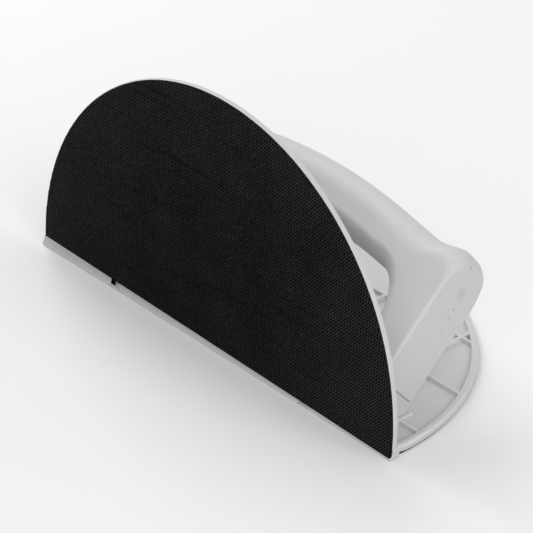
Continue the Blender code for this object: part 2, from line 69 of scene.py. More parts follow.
Point = tuple[float, float]
Colour = tuple[float, float, float]
Place = tuple[float, float, float]
Outline = list[tuple[Point, Point]]
Piece = bpy.types.Object
Shape = bmesh.types.BMesh
Node = bpy.types.Node
Socket = bpy.types.NodeSocket


class Slot(Enum):
    """The record's material slots."""

    PLATE = "plate_plastic"
    HANDLE = "handle_plastic"
    BRACKET = "bracket_plastic"
    HOOK = "hook_fabric"
    STEEL = "screw_steel"


class Side(Enum):
    """Which plate a piece belongs to: its sign is +1 on the base plate's side of the handle."""

    BASE = 1
    FRONT = -1

    @property
    def word(self) -> str:
        """The side's word in the names of its nodes."""
        return self.name.lower()


@dataclass(frozen=True)
class Corner:
    """Sizes that both plates share, and the placing of what is laid out flat."""

    radius: float = 0.1125
    footprint_middle: float = 0.06165
    pad_depth: float = 0.0010
    floor_depth: float = 0.0020
    slab_depth: float = 0.0024
    rim_depth: float = 0.0042
    inset: float = 0.0008

    def placing(self, side: Side) -> Matrix:
        """Gives the move from the flat layout to the place of one side's plate."""
        middle = Matrix.Translation(Vector((0, -self.footprint_middle, 0)))
        if side is Side.BASE:
            return middle
        return middle @ Matrix(((-1, 0, 0, 0), (0, 0, 1, 0), (0, 1, 0, 0), (0, 0, 0, 1)))

    def halfway(self, along: float, height: float) -> Matrix:
        """Gives a frame on the plane halfway between the plates, its z pointing to the base plate's side.

        Args:
            along: Place along the corner.
            height: Distance from the corner in that plane.

        Returns:
            The frame as a matrix in the row frame.
        """
        turn = Matrix(((1, 0, 0), (0, -ROOT_HALF, ROOT_HALF), (0, -ROOT_HALF, -ROOT_HALF))).to_4x4()
        spot = Vector((along, ROOT_HALF * height - self.footprint_middle, ROOT_HALF * height))
        return Matrix.Translation(spot) @ turn


CORNER = Corner()


@dataclass(frozen=True)
class HalfDisc:
    """Outline of a half disc on the corner.

    The insets are how far its right and left foot stand inside the arc's ends. The flare draws its side at
    negative places along outward, most at its foot.
    """

    radius: float
    centre: Point
    insets: Point = (0.0, 0.0)
    flare: float = 0.0
    flare_height: float = 0.0360
    flare_power: float = 1.3
    arc_steps: int = 168

    def sides(self, start: float, end: float) -> Outline:
        """Gives the outline from its foot at positive places along, round the arc, to its other foot.

        Args:
            start: Place of the first foot above the corner.
            end: Place of the last foot.

        Returns:
            Points of the outline, each with the direction that points inward there.
        """
        across, up = self.centre
        found = [((across + self.radius - self.insets[0], start), (-1.0, 0.0))]
        for step in range(self.arc_steps + 1):
            angle = math.pi * step / self.arc_steps
            turn = (math.cos(angle), math.sin(angle))
            spot = (across + self.radius * turn[0], up + self.radius * turn[1])
            found.append((self.drawn(spot), (-turn[0], -turn[1])))
        low = (across - self.radius + self.insets[1], end)
        return found + [(self.drawn(low), (1.0, 0.0))]

    def drawn(self, spot: Point) -> Point:
        """Moves a spot outward by the flare, where it lies on the flared side."""
        if not self.flare or spot[0] > 0:
            return spot
        share = max(0.0, 1 - spot[1] / self.flare_height)
        return (spot[0] - self.flare * share ** self.flare_power, spot[1])


def blend(first: float, second: float, share: float) -> float:
    """Gives the value that lies a share of the way from first to second."""
    return first + (second - first) * share


def eased(share: float) -> float:
    """Gives a share kept between 0 and 1 that starts and ends gently."""
    kept = min(1.0, max(0.0, share))
    return kept ** 2 * (3 - 2 * kept)


def arc(centre: Point, radius: float, start: float, end: float, steps: int) -> list[Point]:
    """Gives points on an arc.

    Args:
        centre: Its centre.
        radius: Its radius.
        start: Angle of the first point, in degrees.
        end: Angle of the last point, in degrees.
        steps: Number of lengths that it is split into.

    Returns:
        The steps + 1 points.
    """
    across, up = centre
    angles = [math.radians(start + (end - start) * index / steps) for index in range(steps + 1)]
    return [(across + radius * math.cos(angle), up + radius * math.sin(angle)) for angle in angles]


def linked(name: str, data: bpy.types.ID) -> Piece:
    """Makes an object of a mesh, light or camera, and links it to the scene."""
    thing = bpy.data.objects.new(name, data)
    bpy.context.scene.collection.objects.link(thing)
    return thing


def new_piece(name: str, shape: Shape, outward: bool = True) -> Piece:
    """Puts a bmesh in a new object and frees it.

    Args:
        name: Name of the object.
        shape: The mesh, which is freed.
        outward: Whether the faces are turned outward first.

    Returns:
        The object, linked to the scene.
    """
    if outward:
        bmesh.ops.recalc_face_normals(shape, faces=shape.faces)
    mesh = bpy.data.meshes.new(name)
    shape.to_mesh(mesh)
    shape.free()
    return linked(name, mesh)


def bridged(shape: Shape, rows: Sequence[Any], closed: bool = True) -> list[bmesh.types.BMFace]:
    """Joins rows of vertices, each to the next, with four-sided faces.

    Args:
        shape: The mesh that the vertices are in.
        rows: Rows of equal length.
        closed: Whether the last vertex of each row is joined to its first.

    Returns:
        The faces.
    """
    faces = []
    for row, after in zip(rows, rows[1:]):
        for index in range(len(row) if closed else len(row) - 1):
            follow = (index + 1) % len(row)
            faces.append(shape.faces.new((row[index], row[follow], after[follow], after[index])))
    return faces


def loft(shape: Shape, rings: Sequence[Sequence[Vector]]) -> None:
    """Joins closed rings of equal length, each to the next, and closes both ends.

    Args:
        shape: The mesh that the loft is added to.
        rings: The rings in order.
    """
    rows = [[shape.verts.new(point) for point in ring] for ring in rings]
    bridged(shape, rows)
    shape.faces.new(rows[0])
    shape.faces.new(list(reversed(rows[-1])))


def turned(shape: Shape, profile: Sequence[Point], steps: int, placing: Matrix) -> None:
    """Turns a closed profile of (radius, height) points about z into a closed body.

    Args:
        shape: The mesh that the body is added to.
        profile: Its closed profile, with every radius above zero.
        steps: Number of faces round.
        placing: Where the body goes.
    """
    rows = []
    for step in range(steps):
        across, up = math.cos(math.tau * step / steps), math.sin(math.tau * step / steps)
        spots = [Vector((radius * across, radius * up, height)) for radius, height in profile]
        rows.append([shape.verts.new(placing @ spot) for spot in spots])
    bridged(shape, rows + rows[:1])


def drill(shape: Shape, radius: float, length: float, placing: Matrix, steps: int = 24) -> None:
    """Adds a closed cylinder along z, to be cut out of a piece, with its middle where placing says."""
    sizes = {"segments": steps, "radius1": radius, "radius2": radius, "depth": length}
    bmesh.ops.create_cone(shape, cap_ends=True, matrix=placing, **sizes)


def rounded_box(shape: Shape, low: Place, high: Place, rounding: float) -> None:
    """Adds a box with rounded edges.

    Args:
        shape: The mesh that the box is added to.
        low: Its lowest corner.
        high: Its highest corner.
        rounding: Radius of its edges.
    """
    box = bmesh.new()
    middle = (Vector(low) + Vector(high)) / 2
    size = Vector(high) - Vector(low)
    bmesh.ops.create_cube(box, size=1, matrix=Matrix.Translation(middle) @ Matrix.Diagonal((*size, 1)))
    edges = box.edges[:]
    bmesh.ops.bevel(box, geom=edges, offset=rounding, segments=EDGE_STEPS, profile=0.5, affect="EDGES")
    mesh = bpy.data.meshes.new("box")
    box.to_mesh(mesh)
    box.free()
    shape.from_mesh(mesh)
    bpy.data.meshes.remove(mesh)


def settled(piece: Piece) -> Piece:
    """Turns what the piece's modifiers make into its own plain mesh, and takes them off.

    Args:
        piece: The piece with its modifiers.

    Returns:
        The same piece.
    """
    bpy.context.view_layer.update()
    graph = bpy.context.evaluated_depsgraph_get()
    mesh = bpy.data.meshes.new_from_object(piece.evaluated_get(graph))
    mesh.name = piece.name
    piece.modifiers.clear()
    piece.data = mesh
    return piece


def cut(piece: Piece, tool: Piece, overlapping: bool = False) -> Piece:
    """Takes the tool's shape out of the piece, and removes the tool.

    Args:
        piece: The piece to cut.
        tool: Closed bodies.
        overlapping: Whether the tool's bodies overlap each other.

    Returns:
        The piece.
    """
    boolean = piece.modifiers.new("cut", "BOOLEAN")
    boolean.operation = "DIFFERENCE"
    boolean.solver = "EXACT"
    boolean.use_self = overlapping
    boolean.object = tool
    settled(piece)
    bpy.data.objects.remove(tool, do_unlink=True)
    return piece


def joined(name: str, pieces: Sequence[Piece]) -> Piece:
    """Joins pieces into one object and removes them.

    Args:
        name: Name of the new object.
        pieces: The pieces, whose places are in their meshes.

    Returns:
        The new object.
    """
    shape = bmesh.new()
    for piece in pieces:
        shape.from_mesh(piece.data)
        bpy.data.objects.remove(piece, do_unlink=True)
    return new_piece(name, shape, outward=False)


def smooth(piece: Piece, angle: float) -> Piece:
    """Shades a piece smooth up to an angle, with its large flat faces kept flat.

    Args:
        piece: The piece.
        angle: Edges sharper than this many degrees stay sharp.

    Returns:
        The same piece with a plain mesh.
    """
    piece.data.shade_smooth()
    piece.data.set_sharp_from_angle(angle=math.radians(angle))
    weighting = piece.modifiers.new("flat_faces", "WEIGHTED_NORMAL")
    weighting.keep_sharp = True
    weighting.weight = FLAT_WEIGHT
    return settled(piece)


def mark_edges(piece: Piece) -> None:
    """Stores how sharply each point of a piece bends outward, for the finish to lighten its edges with wear
    and a painted highlight.

    Args:
        piece: The piece, whose edge_wear becomes 0 on flats and hollows and up to 1 on the sharpest edges.
    """
    shape = bmesh.new()
    shape.from_mesh(piece.data)
    wear = shape.verts.layers.float.new("edge_wear")
    for edge in shape.edges:
        if len(edge.link_faces) != 2:
            continue
        first, second = edge.link_faces
        span = (first.calc_center_median() - second.calc_center_median()).length
        bend = edge.calc_face_angle_signed(0.0) / max(span, SHORTEST_SPAN)
        share = min(1.0, max(0.0, (bend - SOFTEST_BEND) / (SHARPEST_BEND - SOFTEST_BEND)))
        for corner in edge.verts:
            corner[wear] = max(corner[wear], share)
    shape.to_mesh(piece.data)
    shape.free()


def dressed(piece: Piece, finish: "Finish", slot: Slot, *nodes: str) -> Piece:
    """Gives a finished piece its material and its body, and hides and logs the CAD nodes that it stands for.

    Args:
        piece: The piece, with its place in its mesh.
        finish: Its finish.
        slot: The record's slot that the finish belongs to; not used.
        nodes: CAD nodes that it replaces.

    Returns:
        The same piece.
    """
    piece.data.materials.clear()
    piece.data.materials.append(finish.material())
    # The plastics lighten their outward edges with wear and a painted highlight
    if isinstance(finish, MouldedPlastic):
        mark_edges(piece)
    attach(piece, BODY)
    if nodes:
        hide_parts(*nodes)
    stands_for = ", ".join(nodes) or "no node"
    log.info("%s: %d faces, stands for %s", piece.name, len(piece.data.polygons), stands_for)
    return piece


@dataclass
class Wiring:
    """Adds nodes to a tree and joins their sockets."""

    tree: bpy.types.NodeTree

    def node(self, kind: str, settings: dict[str, Any] | None = None, **inputs: Any) -> Node:
        """Adds a node.

        Args:
            kind: Its type name.
            settings: Values for the node's own properties.
            inputs: Values or sockets for its inputs, with _ for a space in their names.

        Returns:
            The node.
        """
        made = self.tree.nodes.new(kind)
        for name, value in (settings or {}).items():
            setattr(made, name, value)
        self.fill(made, **inputs)
        return made

    def fill(self, node: Node, **inputs: Any) -> None:
        """Sets or links a node's inputs, with _ for a space in their names."""
        for name, value in inputs.items():
            self.feed(node.inputs[name.replace("_", " ")], value)

    def feed(self, socket: Socket, value: Any) -> None:
        """Links a socket to an input, or sets its plain value."""
        if isinstance(value, Socket):
            self.tree.links.new(value, socket)
        else:
            socket.default_value = value

    def value(self, operation: str, *terms: Any) -> Socket:
        """Gives the result of a Math node.

        Args:
            operation: The node's operation.
            terms: Numbers or sockets.

        Returns:
            Its output.
        """
        made = self.tree.nodes.new("ShaderNodeMath")
        made.operation = operation
        for socket, term in zip(made.inputs, terms):
            self.feed(socket, term)
        return made.outputs[0]

    def leg(self, slope: Socket, other: Socket) -> Socket:
        """Gives a right triangle's leg from its long side and its other leg."""
        squares = [self.value("MULTIPLY", side, side) for side in (slope, other)]
        return self.value("SQRT", self.value("SUBTRACT", *squares))

    def ramp(self, share: Socket, span: Point, first: float = 0.0, last: float = 1.0) -> Socket:
        """Maps a value from first at the span's start to last at its end, clamped."""
        limits = {"From_Min": span[0], "From_Max": span[1], "To_Min": first, "To_Max": last}
        return self.node("ShaderNodeMapRange", Value=share, **limits).outputs["Result"]

    def tones(self, share: Socket, first: Any, second: Any) -> Socket:
        """Mixes two colours by a share.

        Args:
            share: 0 for the first and 1 for the second.
            first: Colour or socket at 0.
            second: Colour or socket at 1.

        Returns:
            The colour's socket.
        """
        made = self.node("ShaderNodeMix", {"data_type": "RGBA"})
        self.feed(made.inputs[0], share)
        for socket, tone in ((made.inputs[6], first), (made.inputs[7], second)):
            self.feed(socket, tone if isinstance(tone, Socket) else (*tone, 1))
        return made.outputs[2]

    def place(self) -> Socket:
        """Gives the place on the object."""
        return self.node("ShaderNodeTexCoord").outputs["Object"]

    def split(self, vector: Socket) -> list[Socket]:
        """Gives a vector's x, y and z."""
        return list(self.node("ShaderNodeSeparateXYZ", Vector=vector).outputs)

    def spot(self, **parts: Any) -> Socket:
        """Gives the vector of X, Y and Z, each 0 where it isn't given."""
        return self.node("ShaderNodeCombineXYZ", **parts).outputs[0]

    def points(self, count: Socket, spot: Socket) -> Socket:
        """Gives as many points as counted, each at its spot."""
        return self.node("GeometryNodePoints", Count=count, Position=spot).outputs[0]

    def attribute(self, name: str) -> Socket:
        """Gives a number that is stored on the piece."""
        return self.node("ShaderNodeAttribute", {"attribute_name": name}).outputs["Fac"]

    def noise(self, place: Socket, scale: float, detail: float, **more: float) -> Socket:
        """Gives a noise that is read at a place, as fine as the scale says and with finer layers in it."""
        made = self.node("ShaderNodeTexNoise", Vector=place, Scale=scale, Detail=detail, **more)
        return made.outputs["Fac"]

    def random(self, seed: Any, low: float | Place, high: float | Place) -> Socket:
        """Draws a number or a vector for each point.

        Args:
            seed: Number or socket that sets the draw.
            low: Least value.
            high: Greatest value.

        Returns:
            The output socket.
        """
        vector = isinstance(low, tuple)
        kind = {"data_type": "FLOAT_VECTOR" if vector else "FLOAT"}
        made = self.node("FunctionNodeRandomValue", kind, Seed=seed)
        least, most = made.inputs[:2] if vector else made.inputs[2:4]
        self.feed(least, low)
        self.feed(most, high)
        return made.outputs[0 if vector else 1]

    def surface(self, shader: Node, colour: Socket, roughness: Any, specular: float) -> None:
        """Gives a surface its colour, roughness and gloss."""
        self.fill(shader, Base_Color=colour, Roughness=roughness, Specular_IOR_Level=specular)

    def relief(self, shader: Node, height: Socket, depth: float, strength: float) -> None:
        """Gives a surface a relief as deep as said, of which the strength's share shows."""
        bump = self.node("ShaderNodeBump", Height=height, Distance=depth, Strength=strength)
        self.feed(shader.inputs["Normal"], bump.outputs[0])

    def seen_rays(self) -> Socket:
        """Gives 1 for the rays that show a background: to the camera, in gloss and through glass."""
        path = self.node("ShaderNodeLightPath").outputs
        mirrored = self.value("MAXIMUM", path["Is Glossy Ray"], path["Is Transmission Ray"])
        return self.value("MAXIMUM", path["Is Camera Ray"], mirrored)


@dataclass(frozen=True)
class Finish:
    """A surface finish that is made once and shared."""

    name: str

    def material(self) -> bpy.types.Material:
        """Gives the finish's material, made on first use."""
        found = bpy.data.materials.get(self.name + "_finish")
        if found:
            return found
        made = bpy.data.materials.new(self.name + "_finish")
        made.use_nodes = True
        wiring = Wiring(made.node_tree)
        self.dress(wiring, made.node_tree.nodes["Principled BSDF"])
        return made

    def dress(self, wiring: Wiring, shader: Node) -> None:
        """Wires the finish up to the shader."""
        raise NotImplementedError


@dataclass(frozen=True)
class MouldedPlastic(Finish):
    """Pale satin plastic from a mould: cloudy tone, a fine spark-eroded grain, a few streaks where rubbing
    changed its gloss, and edges lightened by wear and a painted highlight.
    """

    tone: Colour
    cloud_tone: Colour
    # Colour of edges lightened by wear and a painted highlight
    worn_tone: Colour = (0.80, 0.80, 0.79)
    roughness: float = 0.50
    specular: float = 0.3
    cloud_scale: float = 55.0
    cloud_span: Point = (0.40, 0.85)
    speck_fineness: float = 14.0
    speck_share: float = 0.25
    rub_fineness: float = 4.0
    rub_span: Point = (0.35, 0.60)
    least_rub: float = 0.35
    streak_scale: float = 90.0
    streak_stretch: Place = (1.0, 9.0, 2.5)
    streak_turn: Place = (0.3, 0.5, 0.7)
    streak_span: Point = (0.42, 0.72)
    streak_roughness: Point = (0.05, -0.08)
    grain_scale: float = 2600.0
    grain_depth: float = 0.00003
    grain_strength: float = 0.5

    def dress(self, wiring: Wiring, shader: Node) -> None:
        """Wires clouds and edges lightened by wear and a painted highlight to the colour, streaks to the
        roughness and grain to the bump.
        """
        place = wiring.place()
        clouds = wiring.noise(place, self.cloud_scale, 3.0, Roughness=0.6)
        specks = wiring.noise(place, self.cloud_scale * self.speck_fineness, 2.0)
        tone = wiring.value("MULTIPLY_ADD", specks, self.speck_share, clouds)
        moulded = wiring.tones(wiring.ramp(tone, self.cloud_span), self.tone, self.cloud_tone)
        # Edge lightening: partly wear, partly a painted highlight on the convex edges
        rub = wiring.noise(place, self.cloud_scale * self.rub_fineness, 3.0)
        rub_and_sheen_mask = wiring.ramp(rub, self.rub_span, self.least_rub)
        wear_and_sheen = wiring.value("MULTIPLY", wiring.attribute("edge_wear"), rub_and_sheen_mask)
        turns = {"Scale": self.streak_stretch, "Rotation": self.streak_turn}
        stretched = wiring.node("ShaderNodeMapping", Vector=place, **turns).outputs[0]
        streaks = wiring.noise(stretched, self.streak_scale, 5.0, Roughness=0.7)
        dull, glossy = (self.roughness + change for change in self.streak_roughness)
        rough = wiring.ramp(streaks, self.streak_span, dull, glossy)
        wiring.surface(shader, wiring.tones(wear_and_sheen, moulded, self.worn_tone), rough, self.specular)
        grain = wiring.noise(place, self.grain_scale, 2.0)
        wiring.relief(shader, grain, self.grain_depth, self.grain_strength)


@dataclass(frozen=True)
class MarkedPlastic(MouldedPlastic):
    """The handle's plastic, with small dark specks on both end faces and painted shade where small sink marks
    and pits are.

    Each mark has its middle on the right end, its radius and how dark it is.
    """

    marks: tuple[tuple[Place, float, float], ...] = ()
    # Colour of the specks and of the painted shade in the small pits
    mark_tone: Colour = (0.16, 0.15, 0.15)
    mark_start: float = 0.3
    mark_end: float = 1.4
    fray_scale: float = 900.0
    fray: float = 0.9

    def dress(self, wiring: Wiring, shader: Node) -> None:
        """Darkens the plastic's colour at each mark, alike at both ends: specks, and painted shade for the
        small pits.
        """
        super().dress(wiring, shader)
        tone = shader.inputs["Base Color"].links[0].from_socket
        place = wiring.place()
        along, across, up = wiring.split(place)
        spot = wiring.spot(X=wiring.value("ABSOLUTE", along), Y=across, Z=up)
        rough = wiring.noise(place, self.fray_scale, 2.0)
        dark: Any = 0.0
        for middle, radius, strength in self.marks:
            reach = wiring.node("ShaderNodeVectorMath", {"operation": "DISTANCE"})
            wiring.feed(reach.inputs[0], spot)
            wiring.feed(reach.inputs[1], middle)
            edge = wiring.value("MULTIPLY_ADD", rough, radius * self.fray, reach.outputs["Value"])
            fade = wiring.ramp(edge, (radius * self.mark_start, radius * self.mark_end), strength, 0.0)
            dark = wiring.value("MAXIMUM", dark, fade)
        wiring.fill(shader, Base_Color=wiring.tones(dark, tone, self.mark_tone))


@dataclass(frozen=True)
class HookGround(Finish):
    """The dark woven ground that the pads' hooks stand on, with fine threads in both directions."""

    tone: Colour
    thread_tone: Colour
    side_tone: Colour
    thread_scale: float = 9000.0
    thread_share: float = 0.3
    thread_depth: float = 0.00008
    thread_strength: float = 0.7
    fuzz_scale: float = 1800.0
    fray_span: Point = (0.3, 0.7)
    least_fray: float = 0.5
    roughness: float = 0.9
    specular: float = 0.02

    def dress(self, wiring: Wiring, shader: Node) -> None:
        """Wires crossing threads to the colour and the bump, and a frayed tone to the cut edge."""
        place = wiring.place()
        along, across, up = wiring.split(place)
        over = wiring.value("ADD", across, up)
        first = wiring.value("SINE", wiring.value("MULTIPLY", along, self.thread_scale))
        second = wiring.value("SINE", wiring.value("MULTIPLY", over, self.thread_scale))
        weave = wiring.value("MULTIPLY", wiring.value("MULTIPLY", first, second), self.thread_share)
        fuzz = wiring.noise(place, self.fuzz_scale, 3.0)
        share = wiring.value("ADD", weave, fuzz)
        woven = wiring.tones(share, self.tone, self.thread_tone)
        fray = wiring.ramp(fuzz, self.fray_span, self.least_fray)
        frayed = wiring.value("MULTIPLY", wiring.attribute("pad_side"), fray)
        colour = wiring.tones(frayed, woven, self.side_tone)
        wiring.surface(shader, colour, self.roughness, self.specular)
        wiring.relief(shader, share, self.thread_depth, self.thread_strength)


@dataclass(frozen=True)
class HookNylon(Finish):
    """The pads' nylon: each lobe a slightly different dark grey, fibrous, with some duller rows."""

    tone: Colour
    light_tone: Colour
    run_scale: float = 14.0
    row_scale: float = 420.0
    row_span: Point = (0.25, 0.42)
    row_shade: float = -0.45
    patch_scale: float = 45.0
    patch_span: Point = (0.3, 0.7)
    patch_shades: Point = (-0.28, 0.04)
    fibre_scale: float = 3200.0
    fibre_share: float = 0.4
    fibre_depth: float = 0.00005
    fibre_strength: float = 0.6
    roughness: float = 0.62
    specular: float = 0.08

    def dress(self, wiring: Wiring, shader: Node) -> None:
        """Wires each lobe's own tone with its wear and painted sheen, patches, duller rows and a fibrous
        noise to the colour.
        """
        place = wiring.place()
        along, across, up = wiring.split(place)
        over = wiring.value("MULTIPLY", wiring.value("ADD", across, up), self.row_scale)
        lying = wiring.spot(X=wiring.value("MULTIPLY", along, self.run_scale), Y=over)
        rows = wiring.ramp(wiring.noise(lying, 1.0, 1.0), self.row_span, self.row_shade, 0.0)
        patches = wiring.ramp(wiring.noise(place, self.patch_scale, 3.0), self.patch_span, *self.patch_shades)
        fibre = wiring.noise(place, self.fibre_scale, 2.0)
        share = wiring.value("MULTIPLY_ADD", fibre, self.fibre_share, wiring.attribute("hook_shade"))
        for change in (patches, rows):
            share = wiring.value("ADD", share, change)
        colour = wiring.tones(share, self.tone, self.light_tone)
        wiring.surface(shader, colour, self.roughness, self.specular)
        wiring.relief(shader, fibre, self.fibre_depth, self.fibre_strength)


@dataclass(frozen=True)
class ZincSteel(Finish):
    """Zinc-plated steel with duller, rougher patches."""

    tone: Colour
    dull_tone: Colour
    patch_scale: float = 900.0
    tone_span: Point = (0.35, 0.65)
    rough_span: Point = (0.3, 0.7)
    roughness: Point = (0.28, 0.45)
    patch_depth: float = 0.00003
    patch_strength: float = 0.4

    def dress(self, wiring: Wiring, shader: Node) -> None:
        """Wires the patches to the colour, the roughness and the bump."""
        patches = wiring.noise(wiring.place(), self.patch_scale, 4.0, Roughness=0.65)
        wiring.fill(
            shader,
            Base_Color=wiring.tones(wiring.ramp(patches, self.tone_span), self.tone, self.dull_tone),
            Roughness=wiring.ramp(patches, self.rough_span, *self.roughness),
            Metallic=1.0,
        )
        wiring.relief(shader, patches, self.patch_depth, self.patch_strength)


@dataclass(frozen=True)
class StudioPaper(Finish):
    """Matt pale paper for the floor, which throws back less light than it shows."""

    tone: Colour
    thrown_tone: Colour
    cloud_scale: float = 3.0
    cloud_share: float = 0.98
    roughness: float = 0.9
    specular: float = 0.1

    def dress(self, wiring: Wiring, shader: Node) -> None:
        """Wires a hardly visible cloud to the colour that is seen, and the thrown tone to other rays."""
        clouds = wiring.noise(wiring.place(), self.cloud_scale, 2.0)
        shown = wiring.tones(clouds, self.tone, tuple(part * self.cloud_share for part in self.tone))
        colour = wiring.tones(wiring.seen_rays(), self.thrown_tone, shown)
        wiring.surface(shader, colour, self.roughness, self.specular)


PLATE_FINISH = MouldedPlastic("plate_plastic", (0.610, 0.610, 0.600), (0.585, 0.588, 0.582))
HANDLE_FINISH = MarkedPlastic(
    "handle_plastic",
    (0.622, 0.618, 0.606),
    (0.592, 0.590, 0.580),
    # Its edges are lightened less by wear and the painted highlight than the plates' edges
    worn_tone=(0.66, 0.66, 0.65),
    # Dark specks, and painted shade where small pits are, on both end faces
    marks=(
        ((0.0971, -0.0044, 0.0627), 0.0009, 0.9),
        ((0.0971, -0.0087, 0.0521), 0.0046, 0.24),
        ((0.0971, -0.0127, 0.0459), 0.0009, 0.9),
        ((0.0971, -0.0150, 0.0425), 0.0018, 0.25),
        ((0.0971, -0.0190, 0.0376), 0.0014, 0.20),
    ),
)
BRACKET_FINISH = MouldedPlastic(
    "bracket_plastic", (0.590, 0.590, 0.580), (0.565, 0.567, 0.560), roughness=0.52
)
GROUND_FINISH = HookGround(
    "hook_ground", (0.0012, 0.0011, 0.0011), (0.0028, 0.0026, 0.0025), (0.030, 0.029, 0.028)
)
THREAD_FINISH = HookNylon("hook_threads", (0.0066, 0.0060, 0.0054), (0.0400, 0.0372, 0.0342))
BRIDGE_FINISH = HookNylon("hook_bridges", (0.0024, 0.0022, 0.0020), (0.0130, 0.0121, 0.0111))
STEEL_FINISH = ZincSteel("screw_steel", (0.60, 0.60, 0.59), (0.45, 0.45, 0.44))
FLOOR_FINISH = StudioPaper("studio_paper", (0.94, 0.94, 0.93), (0.50, 0.50, 0.50))
SOCKET_KINDS = {Piece: "NodeSocketObject", int: "NodeSocketInt", float: "NodeSocketFloat"}


@dataclass
class Pattern:
    """A Geometry Nodes tree with named inputs, run on one object and baked to a plain mesh."""

    name: str
    tree: bpy.types.NodeTree = field(init=False)
    wiring: Wiring = field(init=False)
    values: dict[str, Any] = field(default_factory=dict)

    def __post_init__(self) -> None:
        """Makes the empty tree."""
        self.tree = bpy.data.node_groups.new(self.name, "GeometryNodeTree")
        self.tree.interface.new_socket(name="Geometry", in_out="OUTPUT", socket_type="NodeSocketGeometry")
        self.wiring = Wiring(self.tree)

    def inputs(self, named: dict[str, Any]) -> dict[str, Socket]:
        """Adds the tree's named inputs.

        Args:
            named: What each input is set to, by its name.

        Returns:
            The sockets that give them inside the tree, by the same names.
        """
        identifiers = {}
        for name, value in named.items():
            kind = next(kind for plain, kind in SOCKET_KINDS.items() if isinstance(value, plain))
            made = self.tree.interface.new_socket(name=name, in_out="INPUT", socket_type=kind)
            self.values[made.identifier] = value
            identifiers[name] = made.identifier
        entry = self.wiring.node("NodeGroupInput")
        sockets = {socket.identifier: socket for socket in entry.outputs}
        return {name: sockets[identifier] for name, identifier in identifiers.items()}

    def close(self, instances: Socket, material: bpy.types.Material) -> None:
        """Realizes the instances, sets their material and ends the tree."""
        real = self.wiring.node("GeometryNodeRealizeInstances", Geometry=instances)
        painted = self.wiring.node("GeometryNodeSetMaterial", Geometry=real.outputs[0])
        painted.inputs["Material"].default_value = material
        ending = self.tree.nodes.new("NodeGroupOutput")
        self.tree.links.new(painted.outputs[0], ending.inputs[0])

    def bake(self) -> Piece:
        """Runs the tree and gives a new object with the result as its plain mesh."""
        piece = linked(self.name, bpy.data.meshes.new(self.name))
        modifier = piece.modifiers.new(self.name, "NODES")
        modifier.node_group = self.tree
        for identifier, value in self.values.items():
            modifier[identifier] = value
        return settled(piece)


